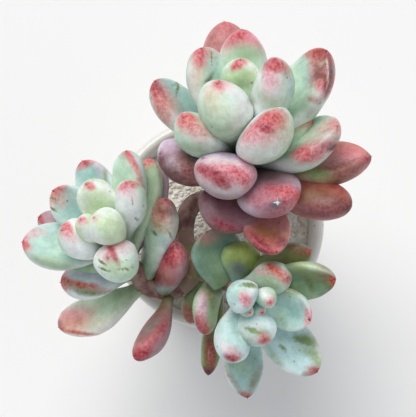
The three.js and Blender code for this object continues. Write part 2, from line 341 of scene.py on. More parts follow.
class Sheet:
    """A node tree under construction, with short calls for its sums and sockets."""

    def __init__(self, tree: bpy.types.NodeTree) -> None:
        """Keep the tree."""
        self.tree = tree

    def node(self, kind: str, **settings: object) -> bpy.types.Node:
        """Add a node.

        Args:
            kind: Blender's name for the node type.
            settings: properties to set on it.

        Returns:
            The new node.
        """
        made = self.tree.nodes.new(kind)
        for key, value in settings.items():
            setattr(made, key, value)
        return made

    def put(self, socket: bpy.types.NodeSocket, value: object) -> None:
        """Link a term to an input, or set its constant."""
        if isinstance(value, Term):
            self.tree.links.new(value.socket, socket)
        elif isinstance(value, bpy.types.NodeSocket):
            self.tree.links.new(value, socket)
        else:
            socket.default_value = value

    def maths(self, operation: str, *values: Value, clamp: bool = False) -> Term:
        """Do a sum on numbers or vectors.

        Args:
            operation: Blender's name for it.
            values: what goes in.
            clamp: keep the result between 0 and 1.

        Returns:
            The result.
        """
        vector = any(isinstance(v, Term) and v.vector for v in values)
        if vector:
            made = self.node("ShaderNodeVectorMath", operation=operation)
        else:
            made = self.node("ShaderNodeMath", operation=operation, use_clamp=clamp)
        for socket, value in zip(made.inputs, values):
            self.put(socket, value)
        return Term(self, made.outputs[0], vector)

    def scaled(self, one: Value, two: Value) -> Term:
        """Scale a vector by a number, whichever comes first."""
        vector, number = (one, two) if isinstance(one, Term) and one.vector else (two, one)
        made = self.node("ShaderNodeVectorMath", operation="SCALE")
        self.put(made.inputs[0], vector)
        self.put(made.inputs["Scale"], number)
        return Term(self, made.outputs[0], True)

    def clamped(self, value: Value) -> Term:
        """Keep a number between 0 and 1."""
        return self.maths("ADD", value, 0.0, clamp=True)

    def smooth(self, value: Value, low: Value = 0.0, high: Value = 1.0, end: float = 1.0) -> Term:
        """Rise smoothly from 0 at low to end at high."""
        made = self.node("ShaderNodeMapRange", interpolation_type="SMOOTHSTEP")
        self.put(made.inputs["Value"], value)
        self.put(made.inputs["From Min"], low)
        self.put(made.inputs["From Max"], high)
        self.put(made.inputs["To Max"], end)
        return Term(self, made.outputs["Result"])

    def blend(self, share: Value, one: object, two: object) -> Term:
        """Mix two colours.

        Args:
            share: how much of the second, from 0 to 1.
            one: first colour.
            two: second colour.

        Returns:
            The mixed colour.
        """
        made = self.node("ShaderNodeMix", data_type="RGBA", clamp_factor=True)
        self.put(made.inputs[0], share)
        self.put(made.inputs[6], one)
        self.put(made.inputs[7], two)
        return Term(self, made.outputs[2])

    def parts(self, vector: object) -> tuple[Term, Term, Term]:
        """Split a vector into its three numbers."""
        made = self.node("ShaderNodeSeparateXYZ")
        self.put(made.inputs[0], vector)
        x, y, z = (Term(self, socket) for socket in made.outputs)
        return x, y, z

    def vector(self, x: Value = 0.0, y: Value = 0.0, z: Value = 0.0) -> Term:
        """Join three numbers into a vector."""
        made = self.node("ShaderNodeCombineXYZ")
        for socket, value in zip(made.inputs, (x, y, z)):
            self.put(socket, value)
        return Term(self, made.outputs[0], True)

    def noise(self, place: Term, scale: Value, detail: float = 3.0, rough: float = 0.55) -> Term:
        """Cloudy noise from 0 to 1 at a place."""
        made = self.node("ShaderNodeTexNoise")
        self.put(made.inputs["Vector"], place)
        self.put(made.inputs["Scale"], scale)
        made.inputs["Detail"].default_value = detail
        made.inputs["Roughness"].default_value = rough
        return Term(self, made.outputs["Fac"])


class ShapeSheet(Sheet):
    """A Geometry Nodes tree with named inputs."""

    def __init__(self, name: str, inputs: dict[str, tuple[str, float]]) -> None:
        """Make the tree with a geometry input and output and the named numbers.

        Args:
            name: the tree's name.
            inputs: socket type and default value for each input's name.
        """
        tree = bpy.data.node_groups.new(name, "GeometryNodeTree")
        face = tree.interface
        face.new_socket("Geometry", in_out="INPUT", socket_type="NodeSocketGeometry")
        self.ids: dict[str, str] = {}
        for label, (kind, value) in inputs.items():
            socket = face.new_socket(label, in_out="INPUT", socket_type=kind)
            socket.default_value = value
            self.ids[label] = socket.identifier
        face.new_socket("Geometry", in_out="OUTPUT", socket_type="NodeSocketGeometry")
        super().__init__(tree)
        self.entry = self.node("NodeGroupInput")
        self.exit = self.node("NodeGroupOutput")

    def given(self, label: str) -> Term:
        """A named input of the tree."""
        return Term(self, self.entry.outputs[label])

    def attribute(self, name: str, vector: bool = False) -> Term:
        """Read a named attribute of the geometry."""
        kind = "FLOAT_VECTOR" if vector else "FLOAT"
        made = self.node("GeometryNodeInputNamedAttribute", data_type=kind)
        made.inputs["Name"].default_value = name
        socket = next(s for s in made.outputs if s.enabled and s.name == "Attribute")
        return Term(self, socket, vector)

    def store(self, shape: object, name: str, value: Value) -> bpy.types.NodeSocket:
        """Write a number or vector to a named attribute of the points and return the geometry."""
        kind = "FLOAT_VECTOR" if isinstance(value, Term) and value.vector else "FLOAT"
        made = self.node("GeometryNodeStoreNamedAttribute", data_type=kind, domain="POINT")
        self.put(made.inputs["Geometry"], shape)
        made.inputs["Name"].default_value = name
        self.put(next(s for s in made.inputs if s.enabled and s.name == "Value"), value)
        return made.outputs["Geometry"]

    def step(self, kind: str, shape: object, entry: str = "Geometry",
             **values: object) -> bpy.types.NodeSocket:
        """Pass geometry through one node.

        Args:
            kind: Blender's name for the node type.
            shape: geometry that goes in.
            entry: name of the socket it goes in by.
            values: other inputs, with spaces as underscores.

        Returns:
            The first output.
        """
        made = self.node(kind)
        self.put(made.inputs[entry], shape)
        for key, value in values.items():
            self.put(made.inputs[key.replace("_", " ")], value)
        return made.outputs[0]

    def place(self) -> Term:
        """Place of each point."""
        return Term(self, self.node("GeometryNodeInputPosition").outputs[0], True)

    def copies(self, points: object, shape: object, **values: object) -> bpy.types.NodeSocket:
        """Put a copy of a shape on every point."""
        return self.step("GeometryNodeInstanceOnPoints", points, "Points", Instance=shape, **values)

    def finish(self, material: bpy.types.Material, *shapes: object) -> None:
        """Join the shapes, make their copies real, dress them and put them out.

        Args:
            material: what they are dressed in.
            shapes: the shapes.
        """
        both = self.node("GeometryNodeJoinGeometry")
        for shape in shapes:
            self.put(both.inputs[0], shape)
        whole = self.step("GeometryNodeRealizeInstances", both.outputs[0])
        whole = self.step("GeometryNodeSetShadeSmooth", whole)
        dressed = self.step("GeometryNodeSetMaterial", whole, Material=material)
        self.put(self.exit.inputs[0], dressed)


def run_tree(sheet: ShapeSheet, mesh: bpy.types.ID, name: str,
             values: dict[str, Number]) -> bpy.types.Mesh:
    """Evaluate a Geometry Nodes tree on some data and return the plain mesh.

    Args:
        sheet: the finished tree.
        mesh: mesh or curve data to start from.
        name: name of the mesh that comes out.
        values: the tree's named inputs.

    Returns:
        A new mesh with no modifier.
    """
    carrier = bpy.data.objects.new(name + "_carrier", mesh)
    bpy.context.scene.collection.objects.link(carrier)
    modifier = carrier.modifiers.new("shape", "NODES")
    modifier.node_group = sheet.tree
    for label, value in values.items():
        modifier[sheet.ids[label]] = value
    graph = bpy.context.evaluated_depsgraph_get()
    graph.update()
    baked = bpy.data.meshes.new_from_object(carrier.evaluated_get(graph), depsgraph=graph)
    baked.name = name
    carrier.modifiers.remove(modifier)
    bpy.data.objects.remove(carrier)
    return baked


def read(mesh: bpy.types.Mesh, name: str) -> np.ndarray:
    """Read a number or vector attribute of a mesh's points."""
    layer = mesh.attributes[name]
    vector = layer.data_type == "FLOAT_VECTOR"
    out = np.zeros(len(mesh.vertices) * (3 if vector else 1), np.float32)
    layer.data.foreach_get("vector" if vector else "value", out)
    return out.reshape(-1, 3) if vector else out


def points_of(mesh: bpy.types.Mesh, what: str = "co") -> np.ndarray:
    """The mesh's points, or their normals, as rows of x, y and z."""
    out = np.zeros(len(mesh.vertices) * 3, np.float32)
    mesh.vertices.foreach_get(what, out)
    return out.reshape(-1, 3)


def write_colour(mesh: bpy.types.Mesh, name: str, colour: np.ndarray, alpha: np.ndarray) -> None:
    """Write a colour and a mask to a colour attribute of the mesh."""
    layer = mesh.color_attributes.new(name, "FLOAT_COLOR", "POINT")
    layer.data.foreach_set("color", np.column_stack([colour, alpha]).astype(np.float32).ravel())


def outward(mesh: bpy.types.Mesh) -> None:
    """Turn the faces out if the closed mesh has them in."""
    mesh.calc_loop_triangles()
    corners = np.zeros(len(mesh.loop_triangles) * 3, np.int32)
    mesh.loop_triangles.foreach_get("vertices", corners)
    a, b, c = (points_of(mesh)[corners.reshape(-1, 3)[:, k]].astype(np.float64) for k in range(3))
    if float(np.einsum("ij,ij->i", a, np.cross(b, c)).sum()) < 0:
        mesh.flip_normals()


def join_meshes(name: str, meshes: Sequence[bpy.types.Mesh]) -> bpy.types.Object:
    """Put several meshes into one object at the origin."""
    made = []
    for mesh in meshes:
        item = bpy.data.objects.new(name, mesh)
        bpy.context.scene.collection.objects.link(item)
        made.append(item)
    bpy.ops.object.select_all(action="DESELECT")
    for item in made:
        item.select_set(True)
    bpy.context.view_layer.objects.active = made[0]
    if len(made) > 1:
        bpy.ops.object.join()
    made[0].name = name
    made[0].data.shade_smooth()
    return made[0]


def new_object(name: str, mesh: bpy.types.Mesh) -> bpy.types.Object:
    """Put one mesh into the scene as a smooth object."""
    item = bpy.data.objects.new(name, mesh)
    bpy.context.scene.collection.objects.link(item)
    mesh.shade_smooth()
    return item


def stand_for(piece: bpy.types.Object, node: str) -> bpy.types.Object:
    """Let a piece ride on the plant's body in place of a node."""
    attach(piece, "root")
    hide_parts(node)
    return piece


def ease(value: np.ndarray) -> np.ndarray:
    """Rise smoothly from 0 to 1."""
    held = np.clip(value, 0, 1)
    return held * held * (3 - 2 * held)


def toward(colour: np.ndarray, tone: Union[Rgb, np.ndarray], share: np.ndarray) -> np.ndarray:
    """Blend rows of colour towards a tone by a share for each row."""
    held = np.clip(share, 0, 1)[:, None]
    return colour * (1 - held) + np.asarray(tone) * held


def rings_mesh(name: str, rings: Sequence[np.ndarray], top: Optional[Sequence[float]] = None
               ) -> bpy.types.Mesh:
    """Join rings of points to a closed mesh.

    Args:
        name: the mesh's name.
        rings: rows of x, y and z in mm for each ring, from the underside on.
        top: a point that the last ring runs to, or none for a flat face.

    Returns:
        The mesh, in metres.
    """
    sides, last = len(rings[0]), (len(rings) - 1) * len(rings[0])
    faces = [tuple(r * sides + k for k in (s, (s + 1) % sides, (s + 1) % sides + sides, s + sides))
             for r in range(len(rings) - 1) for s in range(sides)]
    points = np.vstack([*rings, [top]] if top is not None else rings)
    if top is None:
        faces.append(tuple(range(last, last + sides)))
    else:
        faces += [(last + s, last + (s + 1) % sides, len(points) - 1) for s in range(sides)]
    faces.append(tuple(reversed(range(sides))))
    mesh = bpy.data.meshes.new(name)
    mesh.from_pydata((points * MM).tolist(), [], faces)
    return mesh


def ring(radius: float, up: float, sides: int, middle: Sequence[float] = (0, 0)) -> np.ndarray:
    """A level ring of points in mm."""
    turns = np.arange(sides) * 2 * math.pi / sides
    return np.column_stack([middle[0] + radius * np.cos(turns),
                            middle[1] + radius * np.sin(turns), np.full(sides, float(up))])


def smooth_path(knots: Sequence[Sequence[float]], steps: int = 16) -> np.ndarray:
    """Lay a smooth curve through points, in the points' own unit.

    Args:
        knots: the points that it passes.
        steps: how many short pieces between two of them.

    Returns:
        Rows of x, y and z along the curve.
    """
    given = np.array(knots, float)
    padded = np.vstack([given[0], given, given[-1]])
    out = []
    for i in range(len(given) - 1):
        p0, p1, p2, p3 = padded[i:i + 4]
        for u in np.arange(steps) / steps:
            out.append(0.5 * (2 * p1 + (p2 - p0) * u + (2 * p0 - 5 * p1 + 4 * p2 - p3) * u ** 2
                              + (3 * p1 - p0 - 3 * p2 + p3) * u ** 3))
    out.append(given[-1])
    return np.array(out)


def place_on(path: np.ndarray, distance: float) -> np.ndarray:
    """Find the point at a distance from the path's first point, or beyond it if below zero."""
    if distance <= 0:
        ahead = path[0] - path[1]
        return path[0] - ahead / np.linalg.norm(ahead) * distance
    run = np.concatenate([[0], np.cumsum(np.linalg.norm(np.diff(path, axis=0), axis=1))])
    return np.array([np.interp(distance, run, path[:, k]) for k in range(3)])


def run_along(path: np.ndarray, distances: np.ndarray) -> np.ndarray:
    """Points of a path at some distances, in metres."""
    return np.array([place_on(path, distance) for distance in distances]) * MM


def unit(way: np.ndarray) -> np.ndarray:
    """A direction, with a length of 1."""
    return way / max(np.linalg.norm(way), 1e-6)


def length_of(path: np.ndarray) -> float:
    """Length of the path."""
    return float(np.linalg.norm(np.diff(path, axis=0), axis=1).sum())


@dataclass(frozen=True)
class Form:
    """What every leaf's outline has in common, as on the solids.

    Args:
        neck_thick: how much of the width's neck the thickness has at the root.
        neck_least: least thickness at the root, as a share of the full thickness.
        full: place along the leaf where it is widest.
        full_thick: place along the leaf where it is thickest.
        fall: how late the leaf starts to close towards the tip.
        point_thick: how round the end is in thickness.
        upper: share of the thickness on the inner face.
        lower: share of the thickness on the outer face.
        keel: how full the outer face is along its middle, where 1 is a plain oval.
        scoop: how deep a full hollow is, as a share of the thickness.
        root: how quickly the root opens from its closed end.
        offset: distance of the root from the stem's middle, in metres.
        nib: length of the tiny point at the tip, in metres.
    """

    neck_thick: float = 0.8
    neck_least: float = 0.18
    full: float = 0.62
    full_thick: float = 0.589
    fall: float = 2.2
    point_thick: float = 0.55
    upper: float = 0.38
    lower: float = 0.62
    keel: float = 1.1
    scoop: float = 0.5
    root: float = 33.0
    offset: float = 0.8 * MM
    nib: float = 0.35 * MM


FORM = Form()


class RosetteTree:
    """Geometry Nodes that grow every leaf of a rosette from one point for each leaf."""

    VECTORS = ("root", "axis", "outward", "sideways")
    NUMBERS = ("lean", "curl", "length", "width", "thick", "roll", "sway", "hollow",
               "neck", "tip", "number")
    CROWDING = 1.5
    RIPPLE_SCALE = 330.0
    SWELL_SCALE = 115.0
    EVEN_ROOT = (0.0, 0.25)
    EVEN_TIP = (1.0, 0.86)
    SEAM = 2e-6
    NIB_SIDES = 10
    NIB_SHARE = 2.0

    def __init__(self, material: bpy.types.Material) -> None:
        """Build the tree for one material."""
        self.sheet = ShapeSheet("leaf_rosette", {
            "Rings": ("NodeSocketInt", 60),
            "Sides": ("NodeSocketInt", 44),
            "Nib Length": ("NodeSocketFloat", FORM.nib),
            "Nib Radius": ("NodeSocketFloat", 0.16 * MM),
            "Ripple": ("NodeSocketFloat", 0.16 * MM),
            "Swell": ("NodeSocketFloat", 1.1 * MM),
            "Seed": ("NodeSocketFloat", 3.0),
        })
        skin = self.leaves()
        self.sheet.finish(material, self.nibs(), skin)

    def heading(self, share: Value) -> tuple[Term, Term]:
        """Direction of the leaf, and of its inner face, at a share of its length."""
        sheet = self.sheet
        axis, outward = sheet.attribute("axis", True), sheet.attribute("outward", True)
        angle = sheet.attribute("lean") + sheet.attribute("curl") * (0.5 - share)
        cosine, sine = sheet.maths("COSINE", angle), sheet.maths("SINE", angle)
        return axis * cosine + outward * sine, axis * sine - outward * cosine

    def middle(self, share: Value) -> Term:
        """Middle of the leaf at a share of its length, along an even bend."""
        sheet = self.sheet
        axis, outward = sheet.attribute("axis", True), sheet.attribute("outward", True)
        curl = sheet.attribute("curl")
        start = sheet.attribute("lean") + curl * 0.5
        here = start - curl * share
        length = sheet.attribute("length") - sheet.given("Nib Length")
        up = (sheet.maths("SINE", start) - sheet.maths("SINE", here)) / curl
        out = (sheet.maths("COSINE", here) - sheet.maths("COSINE", start)) / curl
        bend = (axis * up + outward * out) * length
        aside = sheet.attribute("sideways", True) * (sheet.attribute("sway") * share * share)
        return sheet.attribute("root", True) + bend + aside

    def outline(self, share: Term, neck: Value, full: float, point: Value) -> Term:
        """Width or thickness at a share of the length, from 0 to 1.

        Args:
            share: place along the leaf.
            neck: size at the root.
            full: place where the size is full.
            point: how round the end is.

        Returns:
            The size.
        """
        sheet = self.sheet
        grow = sheet.smooth(share, 0.0, full) * (1 - neck) + neck
        fall = sheet.clamped((share - full) * (1 / (1 - full)))
        close = sheet.maths("MAXIMUM", 1 - fall ** FORM.fall, 0.0)
        return grow * close ** point * sheet.clamped(share * FORM.root) ** 0.5

    def blank(self) -> bpy.types.NodeSocket:
        """A fine grid on every root, with the place of each point along and around the leaf."""
        sheet = self.sheet
        grid = sheet.node("GeometryNodeMeshGrid")
        for label, value in (("Size X", 1), ("Size Y", 1), ("Vertices X", sheet.given("Rings")),
                             ("Vertices Y", sheet.given("Sides"))):
            sheet.put(grid.inputs[label], value)
        x, y, _ = sheet.parts(sheet.place())
        share = 1 - sheet.maths("MAXIMUM", 0.5 - x, 0.0) ** self.CROWDING
        turn = (y + 0.5) * (2 * math.pi)
        shape = sheet.store(grid.outputs["Mesh"], "share", share)
        shape = sheet.store(shape, "across", sheet.maths("COSINE", turn))
        shape = sheet.store(shape, "facing", sheet.maths("SINE", turn))
        spread = sheet.copies(sheet.entry.outputs["Geometry"], shape)
        return sheet.step("GeometryNodeRealizeInstances", spread)

    def leaves(self) -> bpy.types.NodeSocket:
        """Bend the grid on every root into a leaf."""
        sheet, real = self.sheet, self.blank()
        share = sheet.attribute("share")
        across, facing = sheet.attribute("across"), sheet.attribute("facing")
        _, face = self.heading(share)
        side = sheet.attribute("sideways", True)
        roll = sheet.attribute("roll")
        cosine, sine = sheet.maths("COSINE", roll), sheet.maths("SINE", roll)
        wide = side * cosine + face * sine
        high = face * cosine - side * sine
        neck, tip = sheet.attribute("neck"), sheet.attribute("tip")
        half = sheet.attribute("width") * 0.5 * self.outline(share, neck, FORM.full, tip)
        deep = sheet.attribute("thick") * self.outline(
            share, neck * FORM.neck_thick + FORM.neck_least, FORM.full_thick,
            FORM.point_thick)
        inner = sheet.maths("MAXIMUM", facing, 0.0)
        outer = sheet.maths("MAXIMUM", facing * -1.0, 0.0)
        scoop = sheet.attribute("hollow") * FORM.scoop * inner ** 3
        raised = inner * FORM.upper - (outer ** FORM.keel) * FORM.lower
        plain = self.middle(share) + wide * (half * across) + high * (deep * raised)
        spot = plain - high * (deep * scoop)
        field = spot + sheet.vector(*[sheet.given("Seed")] * 3)
        wave = (sheet.noise(field, self.RIPPLE_SCALE, 2.0) - 0.5) * sheet.given("Ripple")
        swell = (sheet.noise(field, self.SWELL_SCALE, 1.0) - 0.5) * sheet.given("Swell")
        fade = sheet.smooth(share, *self.EVEN_TIP) * sheet.smooth(share, *self.EVEN_ROOT)
        push = (wide * across + high * facing) * ((wave + swell) * fade)
        real = sheet.store(real, "plain", plain)
        bent = sheet.step("GeometryNodeSetPosition", real, Position=spot + push)
        return sheet.step("GeometryNodeMergeByDistance", bent, Distance=self.SEAM)

    def nibs(self) -> bpy.types.NodeSocket:
        """Put a tiny cone on the tip of every leaf."""
        sheet = self.sheet
        cone = sheet.node("GeometryNodeMeshCone", fill_type="NGON")
        for label, value in (("Vertices", self.NIB_SIDES), ("Radius Top", 0.0),
                             ("Radius Bottom", sheet.given("Nib Radius")),
                             ("Depth", sheet.given("Nib Length") * 2.0)):
            sheet.put(cone.inputs[label], value)
        shape = sheet.store(cone.outputs["Mesh"], "share", self.NIB_SHARE)
        shape = sheet.store(shape, "across", 0.0)
        shape = sheet.store(shape, "facing", 0.0)
        tips = sheet.step("GeometryNodeSetPosition", sheet.entry.outputs["Geometry"],
                          Position=self.middle(1.0))
        ahead, _ = self.heading(1.0)
        aim = sheet.node("FunctionNodeAlignRotationToVector", axis="Z")
        sheet.put(aim.inputs["Vector"], ahead)
        spread = sheet.copies(tips, shape, Rotation=aim.outputs[0])
        return sheet.step("GeometryNodeTranslateInstances", spread, "Instances",
                          Translation=sheet.vector(z=sheet.given("Nib Length") * -1.0))


class StemTree:
    """Geometry Nodes for a round stem with the scars of fallen leaves round it in a spiral."""

    RIPPLE_SCALE = 420.0
    RIPPLE_MIDDLE = 0.55
    BEAD = (14, 8)
    BEAD_SHAPE = (0.2, 1.0, 0.55)
    SUNK = 0.12 * MM

    def __init__(self, material: bpy.types.Material) -> None:
        """Build the tree for one material."""
        self.sheet = ShapeSheet("scarred_stem", {
            "Step": ("NodeSocketFloat", 0.3 * MM),
            "Sides": ("NodeSocketInt", 36),
            "Scar Spacing": ("NodeSocketFloat", 1.5 * MM),
            "Scar Size": ("NodeSocketFloat", 1.1 * MM),
            "Turn": ("NodeSocketFloat", math.radians(GOLDEN)),
            "Ripple": ("NodeSocketFloat", 0.12 * MM),
        })
        skin = self.skin()
        self.sheet.finish(material, self.scars(), skin)

    def skin(self) -> bpy.types.NodeSocket:
        """A slightly rippled tube along the line."""
        sheet = self.sheet
        even = sheet.node("GeometryNodeResampleCurve")
        sheet.put(even.inputs["Curve"], sheet.entry.outputs["Geometry"])
        even.mode = "LENGTH"
        sheet.put(even.inputs["Length"], sheet.given("Step"))
        ring = sheet.node("GeometryNodeCurvePrimitiveCircle")
        sheet.put(ring.inputs["Resolution"], sheet.given("Sides"))
        ring.inputs["Radius"].default_value = 1.0
        tube = sheet.step("GeometryNodeCurveToMesh", even.outputs[0], "Curve",
                          Profile_Curve=ring.outputs[0], Fill_Caps=True,
                          Scale=sheet.node("GeometryNodeInputRadius").outputs[0])
        facing = Term(sheet, sheet.node("GeometryNodeInputNormal").outputs[0], True)
        wave = sheet.noise(sheet.place(), self.RIPPLE_SCALE, 3.0) - self.RIPPLE_MIDDLE
        skin = sheet.step("GeometryNodeSetPosition", tube,
                          Offset=facing * (wave * sheet.given("Ripple")))
        return sheet.store(skin, "scar", 0.0)

    def scars(self) -> bpy.types.NodeSocket:
        """Flat beads round the line, each turned on from the last."""
        sheet = self.sheet
        spots = sheet.node("GeometryNodeCurveToPoints")
        spots.mode = "LENGTH"
        sheet.put(spots.inputs["Curve"], sheet.entry.outputs["Geometry"])
        sheet.put(spots.inputs["Length"], sheet.given("Scar Spacing"))
        width = Term(sheet, sheet.node("GeometryNodeInputRadius").outputs[0])
        kept = sheet.store(spots.outputs["Points"], "radius_here", width)
        bead = sheet.node("GeometryNodeMeshUVSphere")
        bead.inputs["Segments"].default_value, bead.inputs["Rings"].default_value = self.BEAD
        sheet.put(bead.inputs["Radius"], sheet.given("Scar Size"))
        flat = sheet.step("GeometryNodeTransform", bead.outputs["Mesh"], Scale=self.BEAD_SHAPE)
        spread = sheet.copies(kept, flat, Rotation=spots.outputs["Rotation"])
        index = Term(sheet, sheet.node("GeometryNodeInputIndex").outputs[0])
        turned = sheet.step("GeometryNodeRotateInstances", spread, "Instances",
                            Rotation=sheet.vector(z=index * sheet.given("Turn")))
        moved = sheet.step("GeometryNodeTranslateInstances", turned, "Instances",
                           Translation=sheet.vector(sheet.attribute("radius_here") - self.SUNK))
        return sheet.store(sheet.step("GeometryNodeRealizeInstances", moved), "scar", 1.0)

    def along(self, name: str, path: np.ndarray, radii: np.ndarray,
              values: dict[str, Number]) -> bpy.types.Mesh:
        """Make a stem along a path.

        Args:
            name: name of the mesh.
            path: points in metres.
            radii: radius at each point.
            values: the tree's named inputs.

        Returns:
            The stem as a mesh.
        """
        line = bpy.data.curves.new(name + "_line", "CURVE")
        line.dimensions = "3D"
        run = line.splines.new("POLY")
        run.points.add(len(path) - 1)
        run.points.foreach_set("co", np.column_stack([path, np.ones(len(path))]).ravel())
        run.points.foreach_set("radius", radii)
        return run_tree(self.sheet, line, name, values)


# FINISHES


def group_sheet(name: str, inputs: dict[str, tuple[str, object]],
                outputs: dict[str, str]) -> tuple[Sheet, dict, dict]:
    """Start a shader node group with named inputs and outputs.

    Args:
        name: the group's name.
        inputs: socket type and default for each input's name.
        outputs: socket type for each output's name.

    Returns:
        The sheet, the terms of its inputs, and the sockets of its outputs.
    """
    tree = bpy.data.node_groups.new(name, "ShaderNodeTree")
    for label, (kind, value) in inputs.items():
        tree.interface.new_socket(label, in_out="INPUT", socket_type=kind).default_value = value
    for label, kind in outputs.items():
        tree.interface.new_socket(label, in_out="OUTPUT", socket_type=kind)
    sheet = Sheet(tree)
    entry, leave = sheet.node("NodeGroupInput"), sheet.node("NodeGroupOutput")
    terms = {label: Term(sheet, entry.outputs[label]) for label in inputs}
    return sheet, terms, {k: leave.inputs[k] for k in outputs}


class Effects:
    """The shader node groups that several finishes share."""

    FLOAT = "NodeSocketFloat"
    COLOUR = "NodeSocketColor"
    GREY = (0.5, 0.5, 0.5, 1)
    STREAK_LENGTH = 0.35
    STREAK_DRIFT = 18.0

    def __init__(self) -> None:
        """Build each group once."""
        self.broken = self.broken_edge()
        self.powder = self.powder_bloom()
        self.speckle = self.fine_speckle()
        self.relief = self.fine_relief()
        self.streak = self.leaf_streak()

    def place(self, sheet: Sheet) -> Term:
        """Object coordinates."""
        return Term(sheet, sheet.node("ShaderNodeTexCoord").outputs["Object"], True)

    def broken_edge(self) -> bpy.types.NodeTree:
        """Group that breaks a smooth mask into mottled or ragged patches."""
        sheet, given, out = group_sheet(
            "broken_edge",
            {"Mask": (self.FLOAT, 0.0), "Scale": (self.FLOAT, 900.0), "Break": (self.FLOAT, 0.6),
             "Low": (self.FLOAT, 0.25), "High": (self.FLOAT, 0.75)},
            {"Mask": self.FLOAT})
        place = self.place(sheet)
        coarse = sheet.noise(place, given["Scale"], 4.0, 0.65) - 0.5
        shifted = given["Mask"] - coarse * given["Break"] * 2.0
        gate = sheet.smooth(given["Mask"], 0.02, 0.2)
        sheet.put(out["Mask"], sheet.smooth(shifted, given["Low"], given["High"]) * gate)
        return sheet.tree

    def powder_bloom(self) -> bpy.types.NodeTree:
        """Group that lays pale powder over a colour in soft patches."""
        sheet, given, out = group_sheet(
            "powder_bloom",
            {"Colour": (self.COLOUR, self.GREY), "Powder": (self.COLOUR, (0.8, 0.86, 0.86, 1)),
             "Amount": (self.FLOAT, 0.5), "Scale": (self.FLOAT, 260.0)},
            {"Colour": self.COLOUR, "Mask": self.FLOAT})
        place = self.place(sheet)
        patch = sheet.smooth(sheet.noise(place, given["Scale"], 3.0), 0.35, 0.68)
        grain = sheet.noise(place, given["Scale"] * 9.0, 2.0)
        mask = sheet.clamped(given["Amount"] * (patch * 0.5 + grain * 0.5))
        sheet.put(out["Mask"], mask)
        sheet.put(out["Colour"], sheet.blend(mask, given["Colour"], given["Powder"]))
        return sheet.tree

    def fine_speckle(self) -> bpy.types.NodeTree:
        """Group that dots a colour with small flecks."""
        sheet, given, out = group_sheet(
            "fine_speckle",
            {"Colour": (self.COLOUR, self.GREY), "Fleck": (self.COLOUR, (0.2, 0.1, 0.1, 1)),
             "Scale": (self.FLOAT, 900.0), "Share": (self.FLOAT, 0.1), "Size": (self.FLOAT, 0.2),
             "Amount": (self.FLOAT, 0.6)},
            {"Colour": self.COLOUR, "Mask": self.FLOAT})
        cells = sheet.node("ShaderNodeTexVoronoi")
        sheet.put(cells.inputs["Vector"], self.place(sheet))
        sheet.put(cells.inputs["Scale"], given["Scale"])
        split = sheet.node("ShaderNodeSeparateColor")
        sheet.put(split.inputs[0], cells.outputs["Color"])
        chosen = sheet.maths("LESS_THAN", Term(sheet, split.outputs[0]), given["Share"])
        size = given["Size"] * (Term(sheet, split.outputs[1]) + 0.5)
        dot = sheet.smooth(Term(sheet, cells.outputs["Distance"]), size, size * 0.4)
        mask = dot * chosen * given["Amount"]
        sheet.put(out["Mask"], mask)
        sheet.put(out["Colour"], sheet.blend(mask, given["Colour"], given["Fleck"]))
        return sheet.tree

    def leaf_streak(self) -> bpy.types.NodeTree:
        """Group that gives faint streaks which run along a leaf."""
        sheet, given, out = group_sheet(
            "leaf_streak",
            {"Along": (self.FLOAT, 0.0), "Across": (self.FLOAT, 0.0), "Facing": (self.FLOAT, 0.0),
             "Fineness": (self.FLOAT, 9.0)},
            {"Mask": self.FLOAT})
        spot = sheet.vector(given["Along"] * self.STREAK_LENGTH, given["Across"], given["Facing"])
        shifted = spot + self.place(sheet) * self.STREAK_DRIFT
        lines = sheet.noise(shifted, given["Fineness"], 4.0, 0.6)
        sheet.put(out["Mask"], sheet.smooth(lines, 0.32, 0.68))
        return sheet.tree

    def fine_relief(self) -> bpy.types.NodeTree:
        """Group that gives the height of a fine grain with broad dimples under it."""
        sheet, given, out = group_sheet(
            "fine_relief",
            {"Scale": (self.FLOAT, 1500.0), "Dimple": (self.FLOAT, 0.5)},
            {"Height": self.FLOAT})
        place = self.place(sheet)
        grain = sheet.noise(place, given["Scale"], 3.0)
        dimple = sheet.noise(place, given["Scale"] * 0.18, 2.0)
        sheet.put(out["Height"], grain * (1.0 - given["Dimple"]) + dimple * given["Dimple"])
        return sheet.tree


class Finish:
    """Base of every finish: a material with a Principled shader and the shared effects."""

    def __init__(self, name: str, effects: Effects) -> None:
        """Start the material.

        Args:
            name: the material's name.
            effects: shared groups.
        """
        self.material = bpy.data.materials.new(name)
        self.material.use_nodes = True
        self.sheet = Sheet(self.material.node_tree)
        self.shader = self.material.node_tree.nodes["Principled BSDF"]
        self.effects = effects

    def use(self, group: bpy.types.NodeTree, **values: object) -> bpy.types.Node:
        """Place a shared group with its own values."""
        made = self.sheet.node("ShaderNodeGroup", node_tree=group)
        for key, value in values.items():
            self.sheet.put(made.inputs[key], value)
        return made

    def painted(self, name: str) -> tuple[Term, Term]:
        """Read a painted layer's colour and mask."""
        made = self.sheet.node("ShaderNodeAttribute", attribute_name=name)
        return Term(self.sheet, made.outputs["Color"]), Term(self.sheet, made.outputs["Alpha"])

    def number(self, name: str) -> Term:
        """Read a number kept on the mesh."""
        made = self.sheet.node("ShaderNodeAttribute", attribute_name=name)
        return Term(self.sheet, made.outputs["Fac"])

    def place(self) -> Term:
        """Object coordinates."""
        return self.effects.place(self.sheet)

    def bump(self, height: object, strength: float, distance: float) -> None:
        """Feed a height into the shader's normal."""
        made = self.sheet.node("ShaderNodeBump")
        made.inputs["Strength"].default_value = strength
        made.inputs["Distance"].default_value = distance
        self.sheet.put(made.inputs["Height"], height)
        self.sheet.put(self.shader.inputs["Normal"], made.outputs[0])

    def set(self, **values: object) -> None:
        """Set the shader's own inputs, with spaces as underscores."""
        for key, value in values.items():
            self.sheet.put(self.shader.inputs[key.replace("_", " ")], value)


